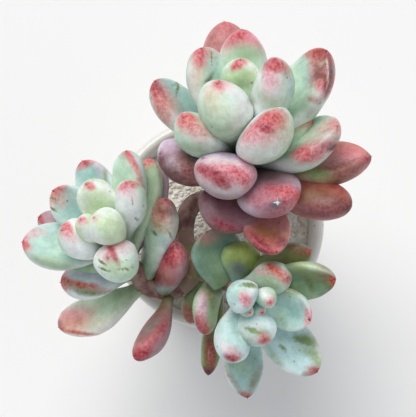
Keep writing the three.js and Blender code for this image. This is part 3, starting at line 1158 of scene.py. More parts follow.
class LeafFinish(Finish):
    """Succulent skin: painted colours, mottled blush, powder, scuffs and flecks."""

    def __init__(self, name: str, effects: Effects, fleck: Tone) -> None:
        """Build the skin.

        Args:
            name: the material's name.
            effects: shared groups.
            fleck: colour of the small flecks.
        """
        super().__init__(name, effects)
        sheet = self.sheet
        base, bloom = self.painted("paint")
        blush, blush_mask = self.painted("blush")
        scuff, scuff_mask = self.painted("scuff")
        place = self.place()
        lines = self.use(effects.streak, Along=self.number("share"), Across=self.number("across"),
                         Facing=self.number("facing"), Fineness=7.0)
        streak = Term(sheet, lines.outputs[0])
        tone = sheet.smooth(sheet.noise(place, 520.0, 5.0, 0.65), 0.3, 0.7)
        shade = sheet.node("ShaderNodeHueSaturation")
        sheet.put(shade.inputs["Value"], tone * 0.24 + streak * 0.05 + 0.82)
        sheet.put(shade.inputs["Saturation"], 1.3 - tone * 0.2)
        sheet.put(shade.inputs["Color"], base)
        dusted = self.use(effects.powder, Colour=shade.outputs[0], Scale=240.0,
                          Amount=bloom * (0.8 + streak * 0.35))
        mottled = self.use(effects.broken, Mask=blush_mask, Scale=900.0, Break=0.32,
                           Low=0.0, High=1.0)
        veined = sheet.node("ShaderNodeHueSaturation")
        deep = sheet.smooth(sheet.noise(place, 1500.0, 4.0), 0.38, 0.66)
        sheet.put(veined.inputs["Value"], 1.06 - deep * 0.3)
        sheet.put(veined.inputs["Saturation"], deep * 0.25 + 0.9)
        sheet.put(veined.inputs["Color"], blush)
        flushed = sheet.blend(mottled.outputs[0], dusted.outputs["Colour"], veined.outputs[0])
        flecked = self.use(effects.speckle, Colour=flushed, Fleck=fleck.rgba, Scale=900.0,
                           Share=0.07, Size=0.24, Amount=0.55)
        ragged = self.use(effects.broken, Mask=scuff_mask, Scale=1700.0, Break=0.6,
                          Low=0.22, High=0.85)
        marked = sheet.blend(ragged.outputs[0], flecked.outputs["Colour"], scuff)
        self.set(Base_Color=marked)
        powder = Term(sheet, dusted.outputs["Mask"])
        rough = 0.46 + powder * 0.2 + Term(sheet, ragged.outputs[0]) * 0.15
        self.set(Roughness=rough, Coat_Weight=0.03, Coat_Roughness=0.3)
        self.set(Subsurface_Weight=0.12, Subsurface_Scale=0.0015)
        relief = self.use(effects.relief, Scale=1700.0, Dimple=0.7)
        height = Term(sheet, relief.outputs[0]) - Term(sheet, ragged.outputs[0]) * 0.5
        self.bump(height, 0.35, 0.0002)


class BarkFinish(Finish):
    """Old fleshy stem: mottled brown and mauve skin with paler leaf scars."""

    def __init__(self, name: str, effects: Effects, skin: Tone, patch: Tone, scar: Tone) -> None:
        """Build the skin.

        Args:
            name: the material's name.
            effects: shared groups.
            skin: main colour.
            patch: colour of the patches.
            scar: colour of the scars.
        """
        super().__init__(name, effects)
        sheet = self.sheet
        place = self.place()
        cloud = sheet.smooth(sheet.noise(place, 260.0, 5.0), 0.4, 0.62)
        mixed = sheet.blend(cloud, skin.rgba, patch.rgba)
        edge = sheet.smooth(sheet.noise(place, 900.0, 4.0), 0.3, 0.7)
        scarred = sheet.blend(self.number("scar") * (0.35 + edge * 0.5), mixed, scar.rgba)
        flecked = self.use(effects.speckle, Colour=scarred, Fleck=Tone.STEM_MAROON.rgba,
                           Scale=1100.0, Share=0.22, Size=0.3, Amount=0.6)
        self.set(Base_Color=flecked.outputs["Colour"], Roughness=0.5 + edge * 0.25)
        relief = self.use(effects.relief, Scale=1100.0, Dimple=0.45)
        self.bump(relief.outputs[0], 0.5, 0.0004)


class CeramicFinish(Finish):
    """Off-white glaze with faint specks, over a bare foot."""

    GLAZE = ((0.74, 0.72, 0.67, 1), (0.82, 0.8, 0.76, 1))
    CLAY = ((0.6, 0.5, 0.4, 1), (0.68, 0.58, 0.48, 1))
    SPECK = (0.3, 0.24, 0.18, 1)
    FOOT_WAVE = 4.0 * MM
    FOOT_EDGE = 0.6 * MM

    def __init__(self, name: str, effects: Effects, foot: float) -> None:
        """Build the glaze.

        Args:
            name: the material's name.
            effects: shared groups.
            foot: height below which the clay is bare, in metres.
        """
        super().__init__(name, effects)
        sheet = self.sheet
        place = self.place()
        _, _, up = sheet.parts(place)
        wave = (sheet.noise(place, 90.0, 3.0) - 0.5) * self.FOOT_WAVE
        glazed = sheet.smooth(up + wave, foot, foot + self.FOOT_EDGE)
        drift = sheet.smooth(sheet.noise(place, 60.0, 4.0), 0.35, 0.65)
        glaze = sheet.blend(drift, *self.GLAZE)
        specked = self.use(effects.speckle, Colour=glaze, Fleck=self.SPECK, Scale=520.0,
                           Share=0.16, Size=0.17, Amount=0.6)
        clay = sheet.blend(drift, *self.CLAY)
        self.set(Base_Color=sheet.blend(glazed, clay, specked.outputs["Colour"]))
        self.set(Roughness=0.75 - glazed * 0.45 + drift * 0.06)
        self.set(Coat_Weight=glazed * 0.5, Coat_Roughness=0.12)
        relief = self.use(effects.relief, Scale=420.0, Dimple=0.8)
        self.bump(relief.outputs[0], 0.2, 0.0004)


class GritFinish(Finish):
    """Pale gritty mix, each grain with its own tone."""

    CLAY = (0.62, 0.55, 0.46, 1)
    SAND = (0.84, 0.81, 0.75, 1)
    CHALK = (0.92, 0.91, 0.88, 1)
    DUST = (0.62, 0.56, 0.48, 1)
    PEAT = (0.2, 0.16, 0.12, 1)

    def __init__(self, name: str, effects: Effects) -> None:
        """Build the grit."""
        super().__init__(name, effects)
        sheet = self.sheet
        place = self.place()
        own = self.number("tone")
        first = sheet.blend(sheet.smooth(own, 0.0, 0.45), self.CLAY, self.SAND)
        second = sheet.blend(sheet.smooth(own, 0.35, 0.8), first, self.CHALK)
        cloud = sheet.smooth(sheet.noise(place, 900.0, 4.0), 0.3, 0.7)
        shaded = sheet.blend(cloud * 0.2, second, self.DUST)
        specked = self.use(effects.speckle, Colour=shaded, Fleck=self.PEAT, Scale=1500.0,
                           Share=0.2, Size=0.3, Amount=0.5)
        self.set(Base_Color=specked.outputs["Colour"], Roughness=0.8 + cloud * 0.15)
        relief = self.use(effects.relief, Scale=1600.0, Dimple=0.4)
        self.bump(relief.outputs[0], 0.6, 0.0004)


class PaperFinish(Finish):
    """Plain pale floor of the studio."""

    SHADES = ((0.89, 0.875, 0.86, 1), (0.91, 0.895, 0.88, 1))

    def __init__(self, name: str, effects: Effects) -> None:
        """Build the paper."""
        super().__init__(name, effects)
        cloud = self.sheet.noise(self.place(), 30.0, 3.0)
        self.set(Base_Color=self.sheet.blend(cloud, *self.SHADES), Roughness=0.85)


# THE PLANT


@dataclass(frozen=True)
class View:
    """Where the photograph was taken from.

    Args:
        target: point that the camera looks at, in mm.
        distance: distance of the camera from it, in mm.
        elevation: angle of the camera above the floor, in degrees.
        focal: focal length in pixels of the photograph.
        width: width of the photograph in pixels.
        height: its height in pixels.
    """

    target: tuple[float, float, float] = (-1.8, -1.6, 73.0)
    distance: float = 300.0
    elevation: float = 80.0
    focal: float = 1500.0
    width: int = 416
    height: int = 417

    @property
    def pixel(self) -> float:
        """Size of a pixel on the plant, in mm."""
        return self.distance / self.focal

    @property
    def back(self) -> np.ndarray:
        """The direction from the target to the camera."""
        rise = math.radians(self.elevation)
        return np.array([0.0, -math.cos(rise), math.sin(rise)])

    def pixels(self, points: np.ndarray) -> np.ndarray:
        """Rows of x and y in the photograph for rows of points in mm."""
        gap = points - np.array(self.target)
        up = np.array([0.0, self.back[2], -self.back[1]])
        scale = self.focal / (self.distance - gap @ self.back)
        return np.column_stack([self.width / 2 + gap[:, 0] * scale,
                                self.height / 2 - gap @ up * scale])


VIEW = View()


@dataclass(frozen=True)
class Rosette:
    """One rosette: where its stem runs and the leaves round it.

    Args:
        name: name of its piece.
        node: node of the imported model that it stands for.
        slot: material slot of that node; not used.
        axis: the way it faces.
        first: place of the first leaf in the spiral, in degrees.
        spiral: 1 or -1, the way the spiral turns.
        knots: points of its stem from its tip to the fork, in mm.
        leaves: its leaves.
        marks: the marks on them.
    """

    name: str
    node: str
    slot: str
    axis: tuple[float, float, float]
    first: float
    spiral: int
    knots: Sequence[Sequence[float]]
    leaves: Sequence[Leaf]
    marks: Mapping[str, Marks]

    STEM_SHORT = 5.1
    OVERLAP = 1.0
    TIP_RADIUS = 1.5
    FORK_RADIUS = 2.4

    def frame(self) -> tuple[np.ndarray, np.ndarray, np.ndarray]:
        """The rosette's axis and two directions square to it."""
        axis = np.array(self.axis, float)
        axis /= np.linalg.norm(axis)
        first = np.array([1.0, 0, 0]) - axis[0] * axis
        first /= np.linalg.norm(first)
        return axis, first, np.cross(axis, first)

    def seeds(self) -> bpy.types.Mesh:
        """One point for each leaf, at its root, with its sizes as attributes."""
        axis, first, second = self.frame()
        path = smooth_path(self.knots)
        rows = []
        for number, leaf in enumerate(self.leaves):
            turn = math.radians(self.first + self.spiral * GOLDEN * leaf.age + leaf.nudge)
            outward_way = math.cos(turn) * first + math.sin(turn) * second
            sideways = -math.sin(turn) * first + math.cos(turn) * second
            root = place_on(path, leaf.drop) * MM + outward_way * FORM.offset
            curl = math.radians(leaf.curl) or STRAIGHT
            numbers = (math.radians(leaf.lean), curl, leaf.length * MM, leaf.width * MM,
                       leaf.thick * MM, math.radians(leaf.roll), leaf.sway * MM, leaf.hollow,
                       leaf.neck, leaf.tip, number)
            rows.append(((root, axis, outward_way, sideways), numbers))
        mesh = bpy.data.meshes.new(self.name + "_seeds")
        mesh.from_pydata([vectors[0] for vectors, _ in rows], [], [])
        for k, label in enumerate(RosetteTree.VECTORS):
            layer = mesh.attributes.new(label, "FLOAT_VECTOR", "POINT")
            layer.data.foreach_set("vector", np.array([v[k] for v, _ in rows], np.float32).ravel())
        for k, label in enumerate(RosetteTree.NUMBERS):
            layer = mesh.attributes.new(label, "FLOAT", "POINT")
            layer.data.foreach_set("value", np.array([n[k] for _, n in rows], np.float32))
        return mesh

    def stem_mesh(self, tree: StemTree) -> bpy.types.Mesh:
        """The rosette's own stretch of stem, up to just inside the stub on the main stem."""
        path = smooth_path(self.knots)
        total = length_of(path)
        span = np.linspace(0.2, total - self.STEM_SHORT + self.OVERLAP, 60)
        radii = (self.TIP_RADIUS + (self.FORK_RADIUS - self.TIP_RADIUS) * span / total) * MM
        return tree.along(self.name + "_stem", run_along(path, span), radii * SLIM,
                          {"Scar Spacing": 1.3 * MM, "Scar Size": 0.85 * MM})

    def build(self, leaf_tree: RosetteTree, stem_tree: StemTree) -> bpy.types.Object:
        """Grow the leaves and the stem and join them to one piece.

        Args:
            leaf_tree: the tree that grows leaves.
            stem_tree: the tree that grows stems.

        Returns:
            The piece, riding on the plant's body.
        """
        leaves = run_tree(leaf_tree.sheet, self.seeds(), self.name + "_leaves", {"Seed": 3.0})
        outward(leaves)
        Painter(self).paint(leaves)
        stem = self.stem_mesh(stem_tree)
        return stand_for(join_meshes(self.name, [leaves, stem]), self.node)


class Painter:
    """Paints the skins and the marks of one rosette onto its mesh, with painted shade towards the roots
    and on the outer faces.
    """

    FACE_TURN = (-0.45, 0.9)
    ROOT_TONE_AND_SHADE = (0.58, 0.55, 0.95)
    OUTER_FACE_SHADE = 0.2
    RIM_START = 0.4
    RIM = (0.4, 0.7)
    BLOOM_MIDDLE = 0.35
    BLOOM_START = 0.3
    BLUSH_FALL = 1.5
    RUBBED = 0.6
    # DEEP darkens colour and blush towards the root as painted shade: where it starts, how far it runs,
    # how dark it gets.
    DEEP = (0.52, 0.42, 0.38)
    NIB_FROM = 1.5
    NIB_REACH = 0.42
    NIB_STRENGTH = 0.85

    def __init__(self, rosette: Rosette) -> None:
        """Keep the rosette."""
        self.rosette = rosette

    def paint(self, mesh: bpy.types.Mesh) -> None:
        """Write the paint, blush and scuff layers to the mesh."""
        number = np.rint(read(mesh, "number")).astype(int)
        values = [points_of(mesh) / MM, read(mesh, "plain") / MM, points_of(mesh, "normal")]
        values += [read(mesh, name) for name in ("share", "across", "facing")]
        layers = {layer: (np.zeros((len(number), 3)), np.zeros(len(number))) for layer in Layer}
        for index, leaf in enumerate(self.rosette.leaves):
            rows = np.flatnonzero(number == index)
            spot = LeafSpot(*(value[rows] for value in values))
            for layer, painted in self.skin(leaf, spot).items():
                for whole, part in zip(layers[layer], painted):
                    whole[rows] = part
        for layer, (colour, mask) in layers.items():
            write_colour(mesh, layer.value, colour, mask)

    def skin(self, leaf: Leaf, spot: "LeafSpot") -> dict[Layer, tuple[np.ndarray, np.ndarray]]:
        """Colour one leaf, with painted shade towards its root and on its outer face.

        Args:
            leaf: the leaf.
            spot: its points.

        Returns:
            Colour and mask for each layer.
        """
        skin, marks = leaf.skin.value, self.rosette.marks.get(leaf.name, Marks())
        count = len(spot.share)
        share, side = np.clip(spot.share, 0, 1), np.abs(spot.across)
        left = spot.from_tip()
        low, run = self.FACE_TURN
        inner = ease((spot.facing - low) / run)
        colour = np.tile(skin.outer.linear, (count, 1))
        colour = toward(colour, skin.inner.linear, inner)
        # Towards the root the colour runs to the root tone: partly the leaf's own greener base, partly
        # painted shade.
        high, run, most = self.ROOT_TONE_AND_SHADE
        colour = toward(colour, skin.root.linear, ease((high - share) / run) * most)
        # Painted shade: the outer face is darkened towards the root tone.
        colour = toward(colour, skin.root.linear, (1 - inner) * (1 - side ** 2) * self.OUTER_FACE_SHADE)
        edge = side ** 6 * ease(share / self.RIM_START)
        colour = toward(colour, skin.rim.linear, edge * (self.RIM[0] + self.RIM[1] * skin.bloom))
        powder = self.BLOOM_MIDDLE + (1 - self.BLOOM_MIDDLE) * side ** 3
        bloom = skin.bloom * powder * ease(share / self.BLOOM_START)
        for mark in marks.soft:
            weight = spot.weight(mark, True)
            colour = toward(colour, mark.tone.linear, weight)
            bloom = bloom * (1 - self.RUBBED * weight)
        wash = skin.strength * np.exp(-(left / skin.reach) ** self.BLUSH_FALL)
        blush = np.tile(skin.blush.linear, (count, 1))
        blush, wash = self.lay(blush, wash, [(m, spot.weight(m, True)) for m in marks.mottled])
        scuff, scuffed = self.lay(np.zeros((count, 3)), np.zeros(count),
                                  [(m, spot.weight(m, False)) for m in marks.ragged])
        # Painted shade: colour and blush darken towards the root, where the leaves tuck under one
        # another.
        high, run, most = self.DEEP
        deep = 1 - most * ease((high - share) / run)[:, None]
        near = self.NIB_STRENGTH * np.exp(-(left / self.NIB_REACH) ** 2)
        dark = np.where(spot.share > self.NIB_FROM, 1.0, near)
        colour = toward(colour * deep, Tone.CRIMSON.linear, dark)
        blush = toward(blush * deep, Tone.MAROON.linear, dark)
        return {Layer.PAINT: (colour, bloom), Layer.BLUSH: (blush, np.maximum(wash, dark)),
                Layer.SCUFF: (scuff, scuffed)}

    def lay(self, colour: np.ndarray, mask: np.ndarray,
            marks: Sequence[tuple[Mark, np.ndarray]]) -> tuple[np.ndarray, np.ndarray]:
        """Lay marks over a layer, one on the other.

        Args:
            colour: the layer's colour so far.
            mask: how much of the layer shows so far.
            marks: the marks, the lowest first, and how much of each lies on every point.

        Returns:
            The new colour and mask.
        """
        for mark, weight in marks:
            mask = 1 - (1 - mask) * (1 - weight)
            colour = toward(colour, mark.tone.linear, weight / np.maximum(mask, 1e-6))
        return colour, mask


@dataclass
class LeafSpot:
    """The points of one leaf, with their place along and around it.

    Args:
        points: rows of x, y and z in mm.
        plain: the same points in mm before the leaf's face was scooped and made uneven.
        normals: the way that the surface faces at each point.
        share: place from root to tip.
        across: cosine of the place around.
        facing: sine of the place around.
    """

    points: np.ndarray
    plain: np.ndarray
    normals: np.ndarray
    share: np.ndarray
    across: np.ndarray
    facing: np.ndarray

    AHEAD = 0.06
    ROUND = math.radians(12)
    ENDS = (0.03, 0.99)
    STRETCH = 1.9
    LONGER = 1.12
    WIDER = 1.35
    DEPTH = 1.2
    FALL = 0.9
    STEEP = 1.25

    def from_tip(self) -> np.ndarray:
        """Distance of each point from the tip."""
        return np.linalg.norm(self.points - self.points[int(np.argmax(self.share))], axis=1)

    def nearest(self, along: float, turn: float) -> int:
        """Number of the point nearest to a place along and around."""
        gap = (np.abs(self.share - along) * 4 + np.abs(self.across - math.cos(turn))
               + np.abs(self.facing - math.sin(turn)))
        return int(np.argmin(gap))

    def under(self, spot: np.ndarray) -> int:
        """Number of the point that shows nearest to a pixel of the photograph."""
        gap = np.linalg.norm(VIEW.pixels(self.plain) - spot, axis=1)
        seen = (self.normals @ VIEW.back > 0) & (self.share <= 1)
        return int(np.argmin(np.where(seen, gap, np.inf)))

    def ways(self, index: int, points: np.ndarray) -> np.ndarray:
        """Directions along and across the leaf at one of its points, as two rows.

        Args:
            index: number of the point.
            points: the leaf's points, as they are or in their plain form.

        Returns:
            Two directions square to each other.
        """
        share, turn = self.share[index], math.atan2(self.facing[index], self.across[index])
        low, high = self.ENDS
        along = unit(points[self.nearest(min(share + self.AHEAD, high), turn)]
                     - points[self.nearest(max(share - self.AHEAD, low), turn)])
        aside = (points[self.nearest(share, turn + self.ROUND)]
                 - points[self.nearest(share, turn - self.ROUND)])
        return np.array([along, unit(aside - along * (aside @ along))])

    def weight(self, mark: Mark, soft: bool) -> np.ndarray:
        """How much of a mark lies on each point, from 0 to 1.

        Args:
            mark: the stroke.
            soft: let it run out a little past its edge.

        Returns:
            The share for each point.
        """
        start, end = np.array([mark.from_x, mark.from_y]), np.array([mark.to_x, mark.to_y])
        index = self.under((start + end) / 2)
        centre, ways = self.plain[index], self.ways(index, self.plain)
        run = np.linalg.norm(end - start)
        way = (end - start) / run if run > 0 else np.array([1.0, 0.0])
        long = run / 2 + mark.half
        aside = np.array([-way[1], way[0]])
        oval = np.outer(way, way) / long ** 2 + np.outer(aside, aside) / mark.half ** 2
        tilt = (VIEW.pixels(centre + ways / 2) - VIEW.pixels(centre - ways / 2)).T
        squeeze, turn = np.linalg.eigh(tilt.T @ oval @ tilt)
        reach = np.minimum(1 / np.sqrt(squeeze), long * self.STRETCH * VIEW.pixel)
        if soft:
            reach = reach * (self.LONGER, self.WIDER)
        gap, ways = self.points - self.points[index], self.ways(index, self.points)
        flat = gap @ ways.T @ turn / reach
        through = gap @ np.cross(*ways) / max(*reach, self.DEPTH) / self.DEPTH
        apart = (flat ** 2).sum(1) + through ** 2
        return mark.strength * np.exp(-self.FALL * apart ** self.STEEP)


@dataclass(frozen=True)
class MainStem:
    """The stem out of the mix, its fork with three stubs, and the one leaf on the fork.

    Args:
        knots: points of the trunk from its foot to the fork, in mm.
        radius: radius of the trunk in mm.
        knob: radius of the swelling at the fork in mm.
        stub: length of each stub in mm.
    """

    knots: Sequence[Sequence[float]]
    radius: float = 2.8
    knob: float = 2.85
    stub: float = 5.0

    KNOB_AXIS = (0.35, -0.3, 0.85)
    KNOB_END = 0.0004

    def build(self, rosettes: Sequence[Rosette], lone: Rosette, leaf_tree: RosetteTree,
              stem_tree: StemTree) -> bpy.types.Object:
        """Make the trunk, the fork and the stubs, and grow the lone leaf.

        Args:
            rosettes: the three rosettes whose stems start here.
            lone: a rosette with only the leaf on the fork.
            leaf_tree: the tree that grows leaves.
            stem_tree: the tree that grows stems.

        Returns:
            The piece, riding on the plant's body.
        """
        trunk_path = smooth_path(self.knots)
        total = length_of(trunk_path)
        span = np.linspace(0.0, total, 70)
        radii = np.full(len(span), self.radius * MM * SLIM)
        meshes = [stem_tree.along("trunk", run_along(trunk_path, span), radii,
                                  {"Scar Spacing": 2.2 * MM, "Scar Size": 1.2 * MM})]
        meshes.append(self.knob_mesh(rosettes[0].knots[-1], stem_tree))
        for rosette in rosettes:
            path = smooth_path(rosette.knots)
            whole = length_of(path)
            span = np.linspace(whole - self.stub, whole, 20)
            share = span / whole
            radii = (rosette.TIP_RADIUS + (rosette.FORK_RADIUS - rosette.TIP_RADIUS) * share) * MM
            meshes.append(stem_tree.along(rosette.name + "_stub", run_along(path, span), radii,
                                          {"Scar Spacing": 1.6 * MM, "Scar Size": 1.0 * MM}))
        leaf = run_tree(leaf_tree.sheet, lone.seeds(), "fork_leaf", {"Seed": 5.0})
        outward(leaf)
        Painter(lone).paint(leaf)
        return stand_for(join_meshes("main_stem_skin", [*meshes, leaf]), "main_stem")

    def knob_mesh(self, centre: Sequence[float], tree: StemTree) -> bpy.types.Mesh:
        """The swelling at the fork, as a short stem that bulges."""
        middle = np.array(centre, float)
        along = np.array(self.KNOB_AXIS) / np.linalg.norm(self.KNOB_AXIS)
        span = np.cos(np.linspace(math.pi, 0, 24))
        reach = self.knob * 0.98
        line = (middle + np.outer(span, along) * reach) * MM
        radii = np.sqrt(np.maximum(1 - span ** 2, self.KNOB_END)) * reach * MM
        return tree.along("knob", line, radii, {"Scar Spacing": 3.0 * MM, "Scar Size": 0.8 * MM,
                                                "Step": 0.2 * MM})


@dataclass(frozen=True)
class Pot:
    """Small tapered ceramic cup with a rounded lip and three drain holes.

    Args:
        height: height in mm.
        rim: outer radius at the rim in mm.
        base: outer radius at the foot in mm.
        wall: thickness of the wall in mm.
        floor: thickness of the bottom in mm.
        drain: radius of a drain hole in mm.
        circle: distance of the drain holes from the middle in mm.
        drains: how many drain holes.
        sides: how many flats go round.
    """

    height: float = 48
    rim: float = 23.5
    base: float = 17.5
    wall: float = 2.6
    floor: float = 3.5
    drain: float = 2.0
    circle: float = 9.0
    drains: int = 3
    sides: int = 144

    FOOT_ROUND = 0.9
    FLOOR_ROUND = 1.2
    DRILL_SIDES = 40
    DRILL_SPARE = 3.0

    def outer(self, height: float) -> float:
        """Radius of the outer wall at a height."""
        return self.base + (self.rim - self.base) * height / self.height

    def profile(self) -> list[tuple[float, float]]:
        """Half outline in mm from the underside, round the lip, to the floor."""
        out = [(self.base - 1.0, 0.0)]
        foot, corner = self.FOOT_ROUND, self.FLOOR_ROUND
        quarter = [math.pi / 2 * k / 5 for k in range(1, 6)]
        out += [(self.outer(foot) - foot + foot * math.sin(a), foot - foot * math.cos(a))
                for a in quarter]
        out += [(self.outer(up), up)
                for up in (foot + (self.height - 2.2) * k / 12 for k in range(1, 13))]
        lip = self.wall / 2
        centre = (self.rim - lip - 0.06, self.height - lip)
        for k in range(1, 12):
            turn = math.pi * k / 12
            out.append((centre[0] + lip * math.cos(turn), centre[1] + lip * math.sin(turn)))
        for k in range(13):
            up = self.height - lip - 0.1 - (self.height - lip - self.floor - 1.4) * k / 12
            out.append((self.outer(up) - self.wall, up))
        edge = self.outer(self.floor) - self.wall
        out += [(edge - corner + corner * math.cos(a), self.floor + corner - corner * math.sin(a))
                for a in quarter]
        return out

    def cup(self) -> bpy.types.Object:
        """Spin the outline into a closed cup."""
        rings = [ring(radius, up, self.sides) for radius, up in self.profile()]
        return new_object("pot_cup", rings_mesh("pot_cup", rings))

    def drill(self, number: int) -> bpy.types.Object:
        """A round plug where a drain hole goes."""
        turn = 2 * math.pi * (number + 0.25) / self.drains
        middle = (self.circle * math.cos(turn), self.circle * math.sin(turn))
        rings = [ring(self.drain, up, self.DRILL_SIDES, middle)
                 for up in (-self.DRILL_SPARE, self.floor + self.DRILL_SPARE)]
        return new_object("drain_plug", rings_mesh("drain_plug", rings))

    def build(self, finish: CeramicFinish) -> bpy.types.Object:
        """Make the cup, bore its drain holes and glaze it.

        Args:
            finish: the glaze.

        Returns:
            The piece, riding on the plant's body.
        """
        cup = self.cup()
        plugs = [self.drill(k) for k in range(self.drains)]
        for plug in plugs:
            cut = cup.modifiers.new("drain", "BOOLEAN")
            cut.operation, cut.solver, cut.object = "DIFFERENCE", "EXACT", plug
        graph = bpy.context.evaluated_depsgraph_get()
        graph.update()
        mesh = bpy.data.meshes.new_from_object(cup.evaluated_get(graph), depsgraph=graph)
        for old in (cup, *plugs):
            bpy.data.objects.remove(old)
        mesh.materials.clear()
        mesh.materials.append(finish.material)
        piece = new_object("glazed_pot", mesh)
        mesh.set_sharp_from_angle(angle=math.radians(40))
        return stand_for(piece, "pot")


@dataclass(frozen=True)
class PottingMix:
    """Gritty pale mix that fills the pot.

    Args:
        top: level of its top in mm.
        bottom: level of its underside in mm.
        gap: space to the wall in mm.
        grains: how many grains lie on it.
        grain_size: radius of a grain in mm.
    """

    top: float = 44
    bottom: float = 3.8
    gap: float = 0.3
    grains: int = 1500
    grain_size: float = 0.62

    SIDES = 96
    RINGS = 26
    SUNK = 0.55
    RIM_GAP = 0.05
    LEVEL = 0.6
    SPREAD = 19.0 * MM
    SEED = 7

    def bed(self, pot: Pot) -> bpy.types.Mesh:
        """The body of the mix, closed, with a softly uneven top."""
        reach = pot.outer(self.top) - pot.wall - self.RIM_GAP
        low = pot.outer(self.bottom) - pot.wall - self.gap
        rings = [ring(low, self.bottom, self.SIDES), ring(reach, self.top - 1.0, self.SIDES)]
        for k in range(self.RINGS):
            row = ring(reach * (1 - k / self.RINGS), self.top - self.SUNK, self.SIDES)
            x, y = row[:, 0], row[:, 1]
            row[:, 2] += 0.25 * np.sin(0.9 * x + 0.4) * np.cos(0.8 * y - 0.7 * x)
            rings.append(row)
        return rings_mesh("mix_bed", rings, (0, 0, self.top - self.SUNK))

    def tree(self, material: bpy.types.Material) -> ShapeSheet:
        """Geometry Nodes that scatter grains over the bed's top."""
        sheet = ShapeSheet("grit_scatter", {
            "Grains per Area": ("NodeSocketFloat", 1.0e6),
            "Grain Size": ("NodeSocketFloat", self.grain_size * MM),
            "Edge": ("NodeSocketFloat", self.SPREAD),
            "Seed": ("NodeSocketInt", self.SEED),
        })
        bed = sheet.store(sheet.entry.outputs["Geometry"], "tone", 0.35)
        _, _, rise = sheet.parts(sheet.node("GeometryNodeInputNormal").outputs[0])
        x, y, _ = sheet.parts(sheet.place())
        from_middle = (x * x + y * y) ** 0.5
        topside = sheet.maths("GREATER_THAN", rise, self.LEVEL)
        within = sheet.maths("LESS_THAN", from_middle, sheet.given("Edge"))
        spots = sheet.step("GeometryNodeDistributePointsOnFaces", bed, "Mesh",
                           Selection=topside * within, Density=sheet.given("Grains per Area"),
                           Seed=sheet.given("Seed"))
        turn = self.random(sheet, "FLOAT_VECTOR", 11, (0, 0, 0), (6.28, 6.28, 6.28))
        size = self.random(sheet, "FLOAT_VECTOR", 12, (0.45, 0.45, 0.4), (1.15, 1.0, 0.8))
        tone = self.random(sheet, "FLOAT", 13, 0.0, 1.0)
        pebble = sheet.node("GeometryNodeMeshUVSphere")
        pebble.inputs["Segments"].default_value = 8
        pebble.inputs["Rings"].default_value = 5
        sheet.put(pebble.inputs["Radius"], sheet.given("Grain Size"))
        kept = sheet.store(spots, "tone", Term(sheet, tone))
        spread = sheet.copies(kept, pebble.outputs["Mesh"], Rotation=turn, Scale=size)
        sheet.finish(material, sheet.step("GeometryNodeRealizeInstances", spread), bed)
        return sheet

    def random(self, sheet: ShapeSheet, kind: str, seed: int, low: object,
               high: object) -> bpy.types.NodeSocket:
        """A random number or vector for each point, with a fixed seed."""
        made = sheet.node("FunctionNodeRandomValue", data_type=kind)
        live = [s for s in made.inputs if s.enabled]
        next(s for s in live if s.name == "Min").default_value = low
        next(s for s in live if s.name == "Max").default_value = high
        next(s for s in live if s.name == "Seed").default_value = seed
        return next(s for s in made.outputs if s.enabled)

    def build(self, pot: Pot, finish: GritFinish) -> bpy.types.Object:
        """Make the bed and scatter the grains.

        Args:
            pot: the pot that it fills.
            finish: the grit's finish.

        Returns:
            The piece, riding on the plant's body.
        """
        sheet = self.tree(finish.material)
        area = math.pi * self.SPREAD ** 2
        mesh = run_tree(sheet, self.bed(pot), "grit",
                        {"Grains per Area": self.grains / area, "Seed": self.SEED})
        return stand_for(new_object("grit_mix", mesh), "potting_mix")


class Studio:
    """Pale floor, soft light and the camera."""

    SENSOR = 36.0
    HALF_FLOOR = 4.0
    ROOM = (0.9, 0.95, 1.02, 1)
    ROOM_LIGHT = 0.49

    def camera(self) -> bpy.types.Object:
        """Put the camera where the picture was taken from."""
        lens = bpy.data.cameras.new("view")
        lens.sensor_fit = "HORIZONTAL"
        lens.sensor_width = self.SENSOR
        lens.lens = self.SENSOR * VIEW.focal / VIEW.width
        lens.clip_start = 0.01
        item = bpy.data.objects.new("view", lens)
        bpy.context.scene.collection.objects.link(item)
        item.location = (np.array(VIEW.target) + VIEW.back * VIEW.distance) * MM
        item.rotation_euler = (math.radians(90 - VIEW.elevation), 0, 0)
        bpy.context.scene.camera = item
        return item

    def lamp(self, name: str, way: tuple[float, float, float], spread: float, power: float,
             colour: Rgb = (1, 1, 1)) -> None:
        """Light the plant evenly from one side with a wide soft lamp.

        Args:
            name: name of the lamp.
            way: the direction that the light comes from.
            spread: how wide the lamp looks from the plant, in degrees.
            power: its power for each square metre.
            colour: its colour.
        """
        light = bpy.data.lights.new(name, "SUN")
        light.angle, light.energy, light.color = math.radians(spread), power, colour
        item = bpy.data.objects.new(name, light)
        bpy.context.scene.collection.objects.link(item)
        item.location = way
        item.rotation_euler = Vector(way).to_track_quat("Z", "Y").to_euler()

    def build(self, finish: PaperFinish) -> None:
        """Lay the floor, hang the lamps and light the room."""
        mesh = bpy.data.meshes.new("floor")
        corners = [(x * self.HALF_FLOOR, y * self.HALF_FLOOR, 0)
                   for x, y in ((-1, -1), (1, -1), (1, 1), (-1, 1))]
        mesh.from_pydata(corners, [], [(0, 1, 2, 3)])
        mesh.materials.append(finish.material)
        new_object("floor", mesh)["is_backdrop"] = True
        self.lamp("key", (-0.3, 0.75, 1.1), spread=40.0, power=2.1, colour=(1.0, 0.99, 0.97))
        self.lamp("fill", (0.7, -0.3, 0.9), spread=60.0, power=0.2, colour=(0.98, 0.99, 1.0))
        world = bpy.data.worlds.new("room")
        world.use_nodes = True
        back = world.node_tree.nodes["Background"]
        back.inputs["Color"].default_value = self.ROOM
        back.inputs["Strength"].default_value = self.ROOM_LIGHT
        bpy.context.scene.world = world
        bpy.context.scene.view_settings.view_transform = "Standard"


# SIZES AND MARKS OF THIS PLANT


